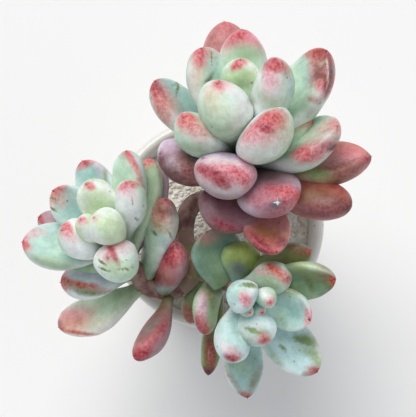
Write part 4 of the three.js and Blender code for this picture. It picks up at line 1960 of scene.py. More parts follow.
TRUNK = ((-3, -6, 34), (-3, -6, 44), (-3, -6.2, 46.6), (-3.5, -8.2, 51.4), (-4.5, -11.4, 57))
FORK = (-4.5, -11.4, 57)
LARGE_KNOTS = ((4.4, 12.3, 75.4), (5.1, 8.3, 68.1), (4.9, 5.1, 62), (0.3, 3.8, 57.7),
               (-4.8, 2.4, 55.9), (-6.7, -1.5, 55.8), (-6.6, -6.5, 56.4), FORK)
LEFT_KNOTS = ((-20, -7.4, 72), (-18.6, -9.5, 67), (-17.1, -12, 61.5), (-14.7, -15.1, 57.4),
              (-10.6, -16.1, 55.7), (-6.8, -14.3, 56), FORK)
SMALL_KNOTS = ((6, -19, 69.9), (4.3, -16.9, 65.2), (2.3, -14.8, 60.5), (-1, -12.7, 57.3), FORK)

LARGE_LEAVES = (
    Leaf("B", Skins.HEART, -1, 18, 12, -1.2, 16, 9, 7, 15),
    Leaf("A", Skins.MINT, 0, -25, 8, -0.8, 15.5, 11, 10, 25, 0, -1.5),
    Leaf("C", Skins.ROSY, 1, 4, 21, 0.4, 20.5, 10, 8, 20, hollow=0.2),
    Leaf("D", Skins.PALE, 2, 3, 22, 0.6, 21, 10, 8, 25),
    Leaf("I", Skins.MINT, 3, -8, 41, 2.6, 17, 9.6, 8, 25),
    Leaf("E", Skins.ROSY, 4, -2, 25, 3.0, 24, 10.4, 8, 25, hollow=0.2),
    Leaf("J", Skins.PALE, 5, 4, 40, 2.2, 18, 13.5, 9, 25, 12),
    Leaf("G", Skins.BLUE, 6, -7, 50, 3.4, 22, 9.5, 8, 25, hollow=0.7),
    Leaf("H", Skins.MINT, 7, -10, 45, 4.0, 27, 14, 8, 25, hollow=0.7),
    Leaf("L", Skins.LAVENDER, 8, 5, 62, 5.0, 17.5, 12.6, 9, 25, -8),
    Leaf("F", Skins.DUSTY, 9, -18, 45, 5.5, 28, 12, 8, 25),
    Leaf("M", Skins.MINT, 10, 7, 61, 6.0, 23, 14, 8, 20, hollow=0.5),
    Leaf("K", Skins.LAVENDER, 11, 2, 64, 7.0, 18, 13, 8, 20),
    Leaf("h60", Skins.MINT, 12, 0, 80, 6.5, 19, 10, 7, 20),
    Leaf("P", Skins.MAUVE, 13, 12, 76, 8.5, 20, 12.5, 7.5, 20, 6),
    Leaf("h145", Skins.DUSTY, 14, 0, 85, 8.0, 15, 10, 7, 20),
    Leaf("N", Skins.TERRACOTTA, 15, -19, 81, 8.5, 26.5, 11.5, 8, 10, hollow=0.5, tip=0.85),
    Leaf("Q", Skins.PLUM, 16, 23, 93, 10.5, 16, 12.5, 8, 10, -20),
    Leaf("h92", Skins.DUSTY, 17, 0, 85, 9.5, 21, 10, 7, 15),
    Leaf("O", Skins.TERRACOTTA, 18, 12, 91, 9.5, 25, 10, 8, 10),
    Leaf("h40", Skins.DUSTY, 20, 0, 100, 11.0, 19, 9, 6.5, 10),
    Leaf("S", Skins.DUSTY, 21, 24, 102, 10.5, 21.5, 9.5, 7, hollow=0.8),
    Leaf("T", Skins.RED, 10, 23, 53, 6.5, 17.5, 8, 6, 20),
)
LEFT_LEAVES = (
    Leaf("b", Skins.HEART, -1, 68, 6, -0.4, 11, 5, 5, 15),
    Leaf("a", Skins.HEART, 0, -21, 4, -0.8, 11, 7.2, 7, 20),
    Leaf("e", Skins.PALE, 1, -28, 24, 4.2, 14.5, 8.2, 7.5, 25),
    Leaf("c", Skins.HEART, 2, 24, 28, 0.8, 14, 8.4, 7, 25),
    Leaf("f", Skins.PALE, 3, -4, 33, 4.0, 12, 8.8, 8.5, 20),
    Leaf("g", Skins.BLUE, 4, -20, 52, 2.8, 17.5, 9, 8, 25, hollow=0.7),
    Leaf("d", Skins.PALE, 5, 16, 37, 2.0, 16, 6.6, 6.5, 20),
    Leaf("l", Skins.ICE, 6, -54, 68, 13, 15.5, 8.5, 7.8, 15),
    Leaf("h", Skins.BLUE, 7, 3, 62, 4.8, 20, 9, 7.5, 20, hollow=0.5),
    Leaf("j", Skins.BLUE, 9, -14, 64, 4.4, 20.5, 10, 8, 20, hollow=0.5),
    Leaf("i", Skins.MINT, 10, 16, 56, 3.6, 19.5, 7.4, 7.5, 20, hollow=0.4),
    Leaf("k", Skins.MAUVE, 12, 18, 66, 5.5, 19.5, 8, 7, 20, hollow=0.4),
    Leaf("m", Skins.MINT, 13, 46, 53, 16, 19.5, 7.4, 6.5, 15, neck=0.5),
    Leaf("q", Skins.HEART, 14, -17, 94, 17, 21.5, 9.4, 6.5, 0, 0, -4, hollow=0.5),
    Leaf("h83", Skins.BLUE, 15, 0, 80, 7.5, 18, 8.5, 7, 15),
    Leaf("r", Skins.CRIMSON, 16, -34, 67, 22.8, 18, 6.2, 5.5, 0, 0, -4),
    Leaf("h168", Skins.SAGE, 17, 0, 85, 8.5, 15, 8, 6.5, 10),
    Leaf("o", Skins.SAGE, 18, 35, 72, 8, 20.5, 7, 6.5, 15),
    Leaf("p", Skins.MAUVE, 23, 4, 85, 8.5, 20.5, 6.5, 6, 15),
    Leaf("n", Skins.CRIMSON, 13, 30, 49, 20, 13, 8.2, 5.8, 15, neck=0.75),
)
SMALL_LEAVES = (
    Leaf("D3", Skins.BLUE, -3, 220, 10, 0.0, 6.5, 3, 3, 10),
    Leaf("C3", Skins.MINT, -2, -20, 10, -0.4, 7, 2.8, 2.8, 10),
    Leaf("B3", Skins.MINT, -1, 32, 11, -0.6, 8.5, 4, 4, 20),
    Leaf("A3", Skins.ICE, 0, 0, 22, -0.8, 9.5, 7, 6, 20),
    Leaf("E3", Skins.ICE, 1, -2, 28, 1.0, 11.6, 7.8, 6, 25),
    Leaf("H3", Skins.MINT, 2, -26, 41, 6, 12.5, 7.0, 6.5, 25),
    Leaf("M3", Skins.SAGE, 3, 23, 51, 13, 12.5, 6.6, 5, 15, 0, 3, neck=0.7),
    Leaf("G3", Skins.BLUE, 4, 10, 48, 3.0, 15, 8.5, 6, 25, hollow=0.9),
    Leaf("P3", Skins.SLATE, 5, 6, 96, 8.0, 12.5, 10.6, 5.5, 10, neck=0.8, hollow=0.6),
    Leaf("F3", Skins.ICE, 6, -10, 46, 2.2, 15, 7.4, 6.5, 25, 0, 1),
    Leaf("I3", Skins.FOREST, 7, -8, 52, 5.2, 20.5, 8.2, 6.5, 15, hollow=0.7),
    Leaf("J3", Skins.ICE, 9, 12, 64, 4.6, 22.5, 10.3, 6, 15, hollow=0.7),
    Leaf("Q3", Skins.LIME, 10, 0, 100, 6.5, 9.2, 8.5, 5.5, 10),
    Leaf("L3", Skins.OLIVE, 11, 45, 81, 13, 20, 4.6, 4.5, 10),
    Leaf("h351", Skins.BLUE, 12, 0, 90, 7.0, 15, 7.5, 5.5, 10),
    Leaf("K3", Skins.BLUE, 14, 7, 82, 5.5, 22.5, 8.6, 5.5, 10, hollow=0.6, tip=0.68),
    Leaf("O3", Skins.OLIVE, 15, -13, 63, 9.0, 17.8, 6.8, 6, 10),
)

FORK_LEAF = (Leaf("N3", Skins.OLIVE, 11, 46, 100, 18, 12, 6, 5, 10),)

# Many soft SAGE, GREEN and DEEP marks along the lower edges of leaves, where they tuck under their
# neighbours, are partly painted shade and partly the leaves' greener own colour.
MARKS: dict[str, Marks] = {
    "F": Marks(
        mottled=(Mark(216, 38, 236, 22, 5, Tone.ROSE, 0.4),
                 Mark(208, 42, 213, 36, 3, Tone.BROWN, 0.35))),
    "E": Marks(
        soft=(Mark(224, 46, 238, 33, 6, Tone.PINK, 0.8), Mark(240, 32, 262, 46, 6, Tone.PINK, 0.9),
              # The SAGE mark on the lower part of E is painted shade.
              Mark(236, 54, 256, 56, 7, Tone.SAGE, 0.8)),
        mottled=(Mark(226, 44, 234, 36, 4, Tone.ROSE, 0.35),
                 Mark(238, 37, 244, 31, 2.5, Tone.ROSE, 0.85))),
    "C": Marks(
        soft=(Mark(198, 68, 196, 86, 6, Tone.PEACH, 0.6),
              Mark(217, 60, 218, 90, 6, Tone.BLUE_MINT, 0.7)),
        mottled=(Mark(199, 49, 200, 62, 5, Tone.ROSE, 0.8),
                 Mark(209, 83, 214, 76, 2.2, Tone.DARK_OLIVE, 0.75)),
        ragged=(Mark(213, 50, 214, 66, 1, Tone.OLIVE, 0.8),)),
    "B": Marks(
        soft=(Mark(236, 80, 254, 78, 7, Tone.FRESH, 0.8), Mark(234, 84, 250, 86, 4, Tone.GREEN, 0.4)),
        mottled=(Mark(234, 67, 242, 62, 4, Tone.ROSE, 0.9),)),
    "A": Marks(
        soft=(Mark(215, 86, 228, 83, 6, Tone.PINK, 0.6), Mark(208, 94, 216, 108, 7, Tone.PEACH, 0.5),
              # The SAGE mark along the lower edge of A is painted shade.
              Mark(224, 108, 226, 120, 9, Tone.YOUNG, 0.5), Mark(216, 134, 244, 130, 6, Tone.SAGE, 0.6),
              Mark(240, 96, 242, 122, 9, Tone.BLOOM, 0.5)),
        mottled=(Mark(217, 82, 221, 90, 3, Tone.ROSE, 0.6),
                 Mark(251, 97, 253, 104, 1.3, Tone.OLIVE, 0.8))),
    "D": Marks(
        soft=(Mark(260, 98, 276, 108, 6, Tone.SAGE, 0.7), Mark(290, 80, 293, 95, 3, Tone.ICE, 0.6)),
        mottled=(Mark(264, 63, 283, 64, 6, Tone.ROSE, 0.85), Mark(266, 76, 276, 84, 6, Tone.PINK, 0.45),
                 Mark(270, 66, 275, 68, 3, Tone.RED, 0.75), Mark(268, 74, 266, 92, 6, Tone.PINK, 0.45),
                 Mark(260, 62, 274, 60, 4, Tone.CRIMSON, 0.4))),
    "G": Marks(
        soft=(Mark(186, 98, 190, 114, 5, Tone.DEEP, 0.5),
              Mark(168, 84, 184, 98, 6, Tone.BLUE_MINT, 0.8),
              Mark(170, 86, 174, 104, 3, Tone.BLOOM, 0.6)),
        mottled=(Mark(152, 84, 160, 104, 7, Tone.ROSE, 0.75),
                 Mark(151, 84, 155, 92, 3, Tone.CRIMSON, 0.7),
                 Mark(158, 104, 166, 124, 6, Tone.SALMON, 0.7)),
        ragged=(Mark(179, 80, 183, 90, 1.2, Tone.OLIVE, 0.8),
                Mark(174, 84, 180, 80, 0.8, Tone.OLIVE, 0.7))),
    "I": Marks(
        soft=(Mark(181, 122, 182, 124, 1.3, Tone.MAROON, 0.95),
              Mark(192, 148, 214, 150, 5, Tone.SAGE, 0.7),
              Mark(174, 112, 180, 130, 3, Tone.BLOOM, 0.6)),
        mottled=(Mark(180, 116, 198, 132, 8, Tone.SALMON, 0.8),
                 Mark(184, 114, 192, 118, 4, Tone.ROSE, 0.7),
                 Mark(204, 128, 216, 136, 3, Tone.ROSE, 0.35)),
        ragged=(Mark(196, 134, 210, 137, 2, Tone.TAN, 0.6),)),
    "J": Marks(
        soft=(Mark(286, 114, 292, 136, 4, Tone.YOUNG, 0.6),
              Mark(280, 145, 262, 156, 6, Tone.BLOOM, 0.6)),
        mottled=(Mark(262, 116, 286, 112, 6, Tone.RED, 0.65),
                 Mark(254, 124, 272, 116, 5, Tone.ROSE, 0.75),
                 Mark(240, 138, 262, 128, 6, Tone.ROSE, 0.5),
                 Mark(242, 138, 270, 140, 9, Tone.PINK, 0.45),
                 Mark(262, 126, 270, 130, 3, Tone.CRIMSON, 0.8)),
        ragged=(Mark(265, 127, 267, 128, 1.3, Tone.MAROON, 0.9),)),
    "K": Marks(
        soft=(Mark(164, 150, 178, 160, 5, Tone.LAVENDER, 0.7),
              # The SAGE mark on the right side of K is painted shade.
              Mark(184, 156, 192, 180, 5, Tone.LILAC, 0.5), Mark(186, 158, 194, 182, 5, Tone.SAGE, 0.6),
              Mark(158, 152, 176, 147, 4, Tone.LAVENDER, 0.9)),
        mottled=(Mark(159, 163, 162, 160, 3, Tone.PLUM, 0.9),
                 Mark(170, 180, 194, 190, 6, Tone.BROWN, 0.7),
                 Mark(162, 168, 176, 182, 6, Tone.PLUM, 0.6),
                 Mark(186, 170, 194, 186, 5, Tone.CRIMSON, 0.4),
                 Mark(180, 188, 196, 192, 4, Tone.MAROON, 0.4))),
    "L": Marks(
        soft=(Mark(206, 186, 240, 192, 5, Tone.BLOOM, 0.6),
              Mark(204, 159, 246, 163, 4, Tone.BLOOM, 0.9),
              Mark(250, 168, 256, 182, 3, Tone.LAVENDER, 0.9),
              Mark(202, 158, 204, 158, 1, Tone.MAROON, 0.9)),
        mottled=(Mark(200, 172, 248, 176, 6.5, Tone.ROSE, 0.75),
                 Mark(200, 166, 250, 180, 11, Tone.PINK, 0.5),
                 Mark(246, 162, 254, 170, 4, Tone.PINK, 0.6),
                 Mark(198, 166, 208, 172, 4, Tone.CRIMSON, 0.75),
                 Mark(214, 176, 226, 186, 5, Tone.CRIMSON, 0.85),
                 Mark(236, 170, 248, 186, 4, Tone.ROSE, 0.7))),
    "M": Marks(
        soft=(Mark(291, 152, 334, 117, 3, Tone.BLOOM, 0.8),
              Mark(320, 122, 336, 118, 4, Tone.LAVENDER, 0.6),
              Mark(300, 136, 318, 118, 5, Tone.MINT, 0.6), Mark(288, 158, 306, 166, 5, Tone.GREEN, 0.6),
              Mark(295, 150, 312, 140, 3, Tone.LILAC, 0.5)),
        mottled=(Mark(322, 150, 338, 142, 5, Tone.PLUM, 0.5),
                 Mark(300, 152, 332, 146, 6, Tone.ROSE, 0.6),
                 Mark(338, 118, 344, 130, 4, Tone.SALMON, 0.7),
                 Mark(294, 158, 322, 160, 5, Tone.ROSE, 0.75)),
        ragged=(Mark(331, 151, 338, 146, 3.2, Tone.PLUM, 0.9),
                Mark(340, 143, 341, 145, 0.9, Tone.BLOOM, 0.95))),
    "H": Marks(
        soft=(Mark(310, 66, 324, 90, 6, Tone.PINK, 0.4), Mark(304, 62, 308, 82, 2.5, Tone.BLOOM, 0.5),
              Mark(296, 56, 300, 90, 4, Tone.BLUE_MINT, 0.6),
              Mark(300, 104, 306, 112, 6, Tone.GREEN, 0.7)),
        mottled=(Mark(300, 49, 326, 52, 4.2, Tone.RED, 0.85),
                 Mark(306, 60, 322, 88, 9, Tone.ROSE, 0.75),
                 Mark(306, 96, 314, 99, 3.5, Tone.TERRACOTTA, 0.7),
                 Mark(324, 58, 325, 92, 3, Tone.TERRACOTTA, 0.5),
                 Mark(333, 56, 330, 94, 2.4, Tone.PLUM, 0.9)),
        ragged=(Mark(306, 62, 320, 60, 3, Tone.BROWN, 0.85),
                Mark(308, 72, 322, 77, 3.6, Tone.BROWN, 0.9),
                Mark(312, 52, 316, 50, 1.5, Tone.CRIMSON, 0.8),
                Mark(329, 54, 328, 96, 0.9, Tone.PEACH, 0.8),
                Mark(324, 56, 326, 96, 0.8, Tone.MAROON, 0.6))),
    "N": Marks(
        soft=(Mark(348, 140, 366, 152, 7, Tone.SALMON, 0.5),
              Mark(330, 152, 354, 148, 7, Tone.PINK, 0.5),
              Mark(304, 172, 336, 176, 6, Tone.FRESH, 0.9)),
        mottled=(Mark(365, 156, 369, 158, 2.6, Tone.CRIMSON, 0.9),
                 Mark(352, 172, 366, 164, 3, Tone.MAROON, 0.35),
                 Mark(338, 158, 360, 170, 5, Tone.BROWN, 0.45),
                 Mark(336, 158, 356, 152, 5, Tone.PINK, 0.4),
                 Mark(330, 178, 352, 182, 6, Tone.BROWN, 0.7),
                 Mark(326, 160, 344, 170, 6, Tone.CRIMSON, 0.3),
                 Mark(336, 166, 350, 160, 5, Tone.BROWN, 0.5))),
    "O": Marks(
        soft=(Mark(300, 195, 322, 194, 5, Tone.OLIVE, 0.4),),
        mottled=(Mark(314, 202, 346, 206, 7, Tone.BROWN, 0.75),
                 Mark(316, 216, 344, 212, 4, Tone.CRIMSON, 0.5),
                 Mark(300, 212, 335, 216, 4, Tone.PLUM, 0.55),
                 Mark(350, 202, 353, 214, 3, Tone.MAROON, 0.6))),
    "P": Marks(
        soft=(Mark(250, 192, 275, 189, 3.5, Tone.LAVENDER, 0.8),
              Mark(300, 188, 306, 200, 2.5, Tone.LAVENDER, 0.7)),
        mottled=(Mark(292, 194, 304, 198, 4, Tone.RED, 0.6),
                 Mark(262, 206, 292, 212, 6, Tone.PLUM, 0.5),
                 Mark(284, 186, 306, 202, 6, Tone.ROSE, 0.55),
                 Mark(256, 190, 296, 200, 11, Tone.ROSE, 0.35),
                 Mark(244, 194, 262, 210, 5, Tone.CRIMSON, 0.35),
                 Mark(274, 205, 279, 203, 3.2, Tone.SLATE, 0.75)),
        ragged=(Mark(275, 205, 279, 203, 2, Tone.SLATE, 0.6),
                Mark(277, 199, 277, 206, 0.8, Tone.BLOOM, 0.85),
                Mark(273, 203, 280, 203, 0.8, Tone.BLOOM, 0.85))),
    "Q": Marks(
        soft=(Mark(230, 199, 242, 202, 3, Tone.OLIVE, 0.7),),
        mottled=(Mark(212, 226, 240, 230, 4, Tone.CRIMSON, 0.65),)),
    "S": Marks(
        soft=(Mark(258, 224, 276, 232, 6, Tone.TAN, 0.75),),
        mottled=(Mark(262, 230, 284, 240, 6, Tone.ROSE, 0.4),
                 Mark(246, 228, 262, 246, 3, Tone.CRIMSON, 0.6),
                 Mark(256, 236, 270, 250, 4, Tone.CRIMSON, 0.75),
                 Mark(280, 236, 288, 246, 3.5, Tone.PLUM, 0.6))),
    "h": Marks(
        soft=(Mark(78, 172, 96, 174, 6, Tone.BLUE_MINT, 0.6),
              Mark(98, 163, 104, 172, 3, Tone.LAVENDER, 0.7),
              Mark(104, 172, 106, 182, 1.5, Tone.OLIVE, 0.8)),
        mottled=(Mark(77, 166, 94, 161, 3.2, Tone.ROSE, 0.7),)),
    "g": Marks(
        soft=(Mark(62, 196, 74, 212, 6, Tone.TEAL, 0.4),),
        mottled=(Mark(51, 190, 64, 186, 2.8, Tone.ROSE, 0.75),
                 Mark(48, 192, 47, 205, 2, Tone.SALMON, 0.6)),
        ragged=(Mark(49, 198, 58, 199, 1.3, Tone.OLIVE, 0.9),
                Mark(50, 206, 57, 212, 1.3, Tone.OLIVE, 0.9),
                Mark(66, 203, 68, 203, 0.8, Tone.SLATE, 0.8))),
    "k": Marks(
        mottled=(Mark(38, 208, 38, 222, 2, Tone.CRIMSON, 0.8),)),
    "c": Marks(
        soft=(Mark(90, 204, 106, 204, 5, Tone.FRESH, 0.5), Mark(80, 196, 82, 206, 4, Tone.BLOOM, 0.5)),
        mottled=(Mark(88, 184, 92, 187, 3, Tone.ROSE, 0.85),)),
    "b": Marks(
        mottled=(Mark(81, 218, 84, 221, 2.5, Tone.PINK, 0.85),)),
    "e": Marks(
        mottled=(Mark(62, 223, 68, 228, 4, Tone.ROSE, 0.85),
                 Mark(64, 234, 72, 240, 5, Tone.PINK, 0.35))),
    "j": Marks(
        soft=(Mark(42, 238, 64, 246, 8, Tone.MINT, 0.5), Mark(34, 258, 66, 266, 4, Tone.SAGE, 0.7),
              Mark(50, 264, 72, 268, 4, Tone.SAGE, 0.6)),
        mottled=(Mark(19, 240, 26, 246, 4, Tone.ROSE, 0.85), Mark(26, 234, 42, 230, 3, Tone.PINK, 0.6),
                 Mark(30, 256, 60, 264, 3, Tone.OLIVE, 0.35))),
    "f": Marks(
        soft=(Mark(114, 243, 126, 243, 2.6, Tone.PINK, 0.5),
              Mark(100, 268, 132, 272, 6, Tone.YOUNG, 0.5)),
        mottled=(Mark(109, 245, 117, 260, 2.5, Tone.CRIMSON, 0.9),
                 Mark(102, 248, 124, 244, 5, Tone.ROSE, 0.45)),
        ragged=(Mark(98, 260, 106, 266, 1.6, Tone.OLIVE, 0.85),
                Mark(98, 267, 110, 272, 1.6, Tone.OLIVE, 0.8),
                Mark(118, 271, 134, 269, 1.6, Tone.OLIVE, 0.8),
                Mark(120, 262, 134, 256, 1.2, Tone.OLIVE, 0.6))),
    "i": Marks(
        soft=(Mark(142, 180, 144, 192, 2.5, Tone.OLIVE, 0.6),),
        mottled=(Mark(126, 152, 136, 168, 2.5, Tone.ROSE, 0.8),
                 Mark(136, 168, 142, 186, 3, Tone.SALMON, 0.6))),
    "d": Marks(
        mottled=(Mark(121, 184, 138, 184, 4, Tone.ROSE, 0.75),
                 Mark(124, 192, 134, 196, 5, Tone.PINK, 0.4)),
        ragged=(Mark(132, 196, 133, 205, 1.2, Tone.TAN, 0.8),
                Mark(135, 217, 138, 220, 1.8, Tone.OLIVE, 0.85))),
    "o": Marks(
        mottled=(Mark(150, 153, 154, 160, 3, Tone.ROSE, 0.7),)),
    "m": Marks(
        soft=(Mark(160, 236, 168, 250, 3, Tone.BLUE_MINT, 0.6),),
        mottled=(Mark(155, 200, 168, 204, 7, Tone.CRIMSON, 0.7),
                 Mark(156, 210, 170, 214, 4, Tone.BROWN, 0.7),
                 Mark(152, 222, 168, 230, 6, Tone.TAN, 0.6),
                 Mark(156, 216, 168, 222, 3, Tone.ROSE, 0.5),
                 Mark(152, 206, 154, 222, 2.5, Tone.SALMON, 0.5)),
        ragged=(Mark(151, 230, 156, 236, 1.8, Tone.OLIVE, 0.85),
                Mark(170, 232, 173, 240, 1.5, Tone.OLIVE, 0.8))),
    "n": Marks(
        soft=(Mark(144, 284, 160, 291, 3.5, Tone.ICE, 0.8),),
        mottled=(Mark(158, 262, 176, 250, 9, Tone.ROSE, 0.65),
                 Mark(162, 252, 172, 266, 3, Tone.CRIMSON, 0.6),
                 Mark(150, 278, 168, 284, 6, Tone.CRIMSON, 0.65),
                 Mark(160, 256, 172, 248, 2, Tone.MAROON, 0.6))),
    "l": Marks(
        soft=(Mark(58, 274, 66, 270, 3, Tone.PINK, 0.6), Mark(60, 282, 63, 284, 1.5, Tone.MAROON, 0.9),
              Mark(70, 272, 104, 280, 3, Tone.LAVENDER, 0.6)),
        mottled=(Mark(60, 280, 100, 287, 3, Tone.RED, 0.9), Mark(60, 273, 63, 287, 3.8, Tone.ROSE, 0.8),
                 Mark(72, 291, 108, 296, 3, Tone.OLIVE, 0.8))),
    "q": Marks(
        soft=(Mark(56, 322, 84, 316, 9, Tone.SALMON, 0.85), Mark(60, 314, 78, 308, 4, Tone.PINK, 0.6),
              Mark(92, 318, 110, 306, 6, Tone.MINT, 0.6), Mark(118, 302, 138, 292, 6, Tone.YOUNG, 0.7)),
        mottled=(Mark(62, 331, 92, 334, 1.5, Tone.RED, 0.8),
                 Mark(57, 322, 60, 330, 2.5, Tone.CRIMSON, 0.6))),
    "r": Marks(
        soft=(Mark(146, 332, 160, 318, 2.5, Tone.SAGE, 0.5),
              Mark(140, 338, 162, 313, 4, Tone.SLATE, 0.5)),
        mottled=(Mark(150, 345, 172, 314, 6, Tone.CRIMSON, 0.6),
                 Mark(138, 356, 146, 344, 5, Tone.ROSE, 0.4),
                 Mark(134, 358, 146, 352, 5, Tone.CRIMSON, 0.75))),
    "P3": Marks(
        soft=(Mark(204, 240, 216, 236, 5, Tone.DUSTY, 0.55),
              Mark(215, 262, 232, 270, 6, Tone.SAGE, 0.5))),
    "H3": Marks(
        soft=(Mark(244, 262, 258, 276, 4, Tone.SAGE, 0.7),),
        mottled=(Mark(262, 260, 275, 264, 5, Tone.OLIVE, 0.75),
                 Mark(270, 266, 280, 274, 3.5, Tone.RED, 0.85),
                 Mark(256, 272, 266, 274, 3, Tone.PINK, 0.5),
                 Mark(284, 276, 290, 280, 4, Tone.SALMON, 0.7))),
    "I3": Marks(
        soft=(Mark(288, 263, 318, 264, 4, Tone.FRESH, 0.7),
              Mark(292, 280, 318, 290, 6, Tone.GREEN, 0.6), Mark(286, 272, 300, 294, 5, Tone.DEEP, 0.6),
              Mark(296, 262, 330, 272, 2, Tone.YOUNG, 0.7),
              Mark(312, 292, 330, 296, 3, Tone.DEEP, 0.7)),
        mottled=(Mark(304, 284, 309, 293, 3, Tone.DARK_OLIVE, 0.75),
                 Mark(322, 287, 331, 290, 3, Tone.DARK_OLIVE, 0.7),
                 Mark(294, 272, 328, 284, 6, Tone.OLIVE, 0.45),
                 Mark(320, 264, 330, 272, 2, Tone.BROWN, 0.5),
                 Mark(331, 281, 335, 284, 2.6, Tone.RED, 0.9))),
    "O3": Marks(
        mottled=(Mark(286, 244, 305, 250, 4, Tone.BROWN, 0.6),
                 Mark(310, 250, 313, 251, 2, Tone.RED, 0.85))),
    "A3": Marks(
        soft=(Mark(232, 288, 242, 292, 6, Tone.MINT, 0.5), Mark(230, 300, 236, 310, 5, Tone.ICE, 0.5)),
        mottled=(Mark(243, 298, 249, 305, 3.2, Tone.PINK, 0.85),),
        ragged=(Mark(243, 283, 257, 285, 3, Tone.MOSS, 0.9),)),
    "B3": Marks(
        mottled=(Mark(269, 302, 271, 304, 2, Tone.PINK, 0.85),)),
    "Q3": Marks(
        # Painted shadow: the slate patch at the root of Q3 stands for a shadowed gap between the
        # leaves.
        soft=(Mark(236, 266, 242, 270, 5, Tone.SLATE, 0.8),)),
    "E3": Marks(
        soft=(Mark(244, 324, 270, 322, 3, Tone.BLOOM, 0.5),),
        mottled=(Mark(242, 336, 250, 344, 4, Tone.SAGE, 0.6),
                 Mark(262, 330, 270, 338, 3, Tone.SAGE, 0.5),
                 Mark(264, 341, 268, 343, 4, Tone.ROSE, 0.6)),
        ragged=(Mark(247, 329, 259, 333, 3.5, Tone.MOSS, 0.9),)),
    "F3": Marks(
        soft=(Mark(216, 314, 222, 336, 5, Tone.BLUE_MINT, 0.7),),
        mottled=(Mark(226, 356, 236, 361, 3, Tone.CRIMSON, 0.85),
                 Mark(224, 346, 238, 352, 4, Tone.PINK, 0.45),
                 Mark(232, 320, 240, 340, 3, Tone.SAGE, 0.4))),
    "G3": Marks(
        soft=(Mark(280, 300, 292, 318, 6, Tone.TEAL, 0.6),),
        mottled=(Mark(305, 313, 311, 323, 4, Tone.PINK, 0.8),
                 Mark(272, 312, 284, 330, 3.5, Tone.SAGE, 0.6),
                 Mark(288, 290, 304, 298, 3, Tone.SAGE, 0.5),
                 Mark(276, 292, 300, 291, 2.5, Tone.OLIVE, 0.6))),
    "J3": Marks(
        soft=(Mark(280, 338, 296, 336, 4, Tone.BLUE_MINT, 0.6),
              Mark(316, 346, 322, 364, 3, Tone.BLOOM, 0.6)),
        mottled=(Mark(296, 337, 308, 341, 3, Tone.OLIVE, 0.6),
                 Mark(296, 348, 312, 356, 3, Tone.SAGE, 0.6),
                 Mark(314, 350, 322, 368, 3.5, Tone.FRESH, 0.7),
                 Mark(268, 350, 280, 366, 4, Tone.SAGE, 0.5),
                 Mark(310, 330, 320, 344, 4, Tone.OLIVE, 0.5),
                 Mark(304, 374, 318, 373, 1.8, Tone.BROWN, 0.75),
                 Mark(318, 370, 322, 374, 2.5, Tone.CRIMSON, 0.85)),
        ragged=(Mark(297, 338, 312, 342, 5, Tone.MOSS, 0.9),
                Mark(278, 345, 286, 350, 2.5, Tone.MOSS, 0.9))),
    "K3": Marks(
        soft=(Mark(240, 350, 256, 366, 6, Tone.DEEP, 0.5), Mark(228, 352, 234, 366, 5, Tone.GREEN, 0.7),
              Mark(238, 375, 246, 385, 6, Tone.BLUE_MINT, 0.5)),
        mottled=(Mark(226, 366, 242, 394, 2.5, Tone.BROWN, 0.5),
                 Mark(263, 366, 250, 396, 2.5, Tone.BROWN, 0.5),
                 Mark(234, 356, 254, 378, 6, Tone.SAGE, 0.5),
                 Mark(240, 394, 250, 397, 2, Tone.CRIMSON, 0.5))),
    "L3": Marks(
        mottled=(Mark(209, 338, 211, 368, 5, Tone.BROWN, 0.85),
                 Mark(211, 344, 213, 362, 2.5, Tone.CRIMSON, 0.6),
                 Mark(202, 370, 211, 373, 3, Tone.MAROON, 0.8)),
        ragged=(Mark(208, 340, 208, 366, 1.2, Tone.DUSTY, 0.6),)),
    "M3": Marks(
        soft=(Mark(194, 306, 200, 322, 3, Tone.MINT, 0.7),),
        mottled=(Mark(200, 282, 214, 300, 6, Tone.OLIVE, 0.8),
                 Mark(204, 300, 200, 322, 4, Tone.PINK, 0.6),
                 Mark(202, 298, 204, 314, 4, Tone.LAVENDER, 0.6),
                 Mark(196, 318, 203, 332, 4, Tone.CRIMSON, 0.85))),
    "N3": Marks(
        soft=(Mark(190, 270, 200, 262, 4, Tone.SAGE, 0.8),
              Mark(184, 280, 192, 300, 6, Tone.GREEN, 0.7)),
        mottled=(Mark(184, 310, 190, 326, 5, Tone.CRIMSON, 0.7),)),
}

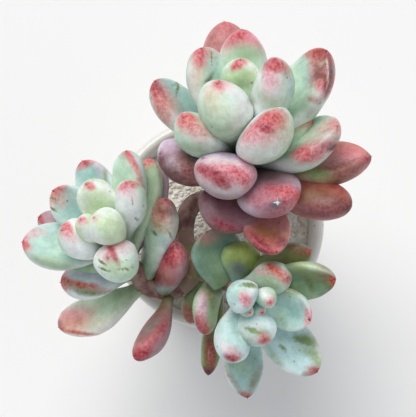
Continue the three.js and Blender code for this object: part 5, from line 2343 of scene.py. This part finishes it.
LARGE = Rosette("large_rosette", "large_head", "pink_leaves", (-0.095, 0.637, 0.765), 270, -1,
                LARGE_KNOTS, LARGE_LEAVES, MARKS)
LEFT = Rosette("left_rosette", "left_head", "mint_leaves", (-0.449, 0.255, 0.856), 346, -1,
               LEFT_KNOTS, LEFT_LEAVES, MARKS)
SMALL = Rosette("small_rosette", "small_head", "blue_leaves", (0.3, -0.406, 0.863), 141, 1,
                SMALL_KNOTS, SMALL_LEAVES, MARKS)
LONE = Rosette("fork_leaf", "main_stem", "stem", (0.3, -0.406, 0.863), 141, 1,
               SMALL_KNOTS, FORK_LEAF, MARKS)


def main() -> None:
    """Build the studio and every piece of the plant, in order."""
    logging.basicConfig(level=logging.INFO, format="%(name)s: %(message)s")
    effects = Effects()
    studio = Studio()
    studio.camera()
    studio.build(PaperFinish("studio_paper", effects))
    rosy_skin = LeafFinish("rosy_leaf_skin", effects, Tone.MAROON)
    mint_skin = LeafFinish("mint_leaf_skin", effects, Tone.OLIVE)
    blue_skin = LeafFinish("blue_leaf_skin", effects, Tone.OLIVE)
    bark = BarkFinish("stem_bark", effects, Tone.STEM_MAUVE, Tone.STEM_MAROON, Tone.STEM_OLIVE)
    old_bark = BarkFinish("trunk_bark", effects, Tone.STEM_OLIVE, Tone.STEM_MAUVE, Tone.TAN)
    stems, old_stems = StemTree(bark.material), StemTree(old_bark.material)
    pot = Pot()
    pieces = [pot.build(CeramicFinish("pale_glaze", effects, 2.2 * MM))]
    pieces.append(PottingMix().build(pot, GritFinish("pale_grit", effects)))
    rosettes = (LARGE, LEFT, SMALL)
    trees = [RosetteTree(skin.material) for skin in (rosy_skin, mint_skin, blue_skin)]
    pieces.append(MainStem(TRUNK).build(rosettes, LONE, trees[2], old_stems))
    for rosette, tree in zip(rosettes, trees):
        pieces.append(rosette.build(tree, stems))
    for piece in pieces:
        mesh = piece.data
        log.info("%s: %d points, %d faces", piece.name, len(mesh.vertices), len(mesh.polygons))
    visual_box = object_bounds()
    {"cad": plain(cad_box), "visual": plain(visual_box)}


def plain(box: Sequence[Sequence[float]]) -> list[list[float]]:
    """A box as plain lists of numbers."""
    return [[float(v) for v in corner] for corner in box]


if __name__ == "__main__":
    main()
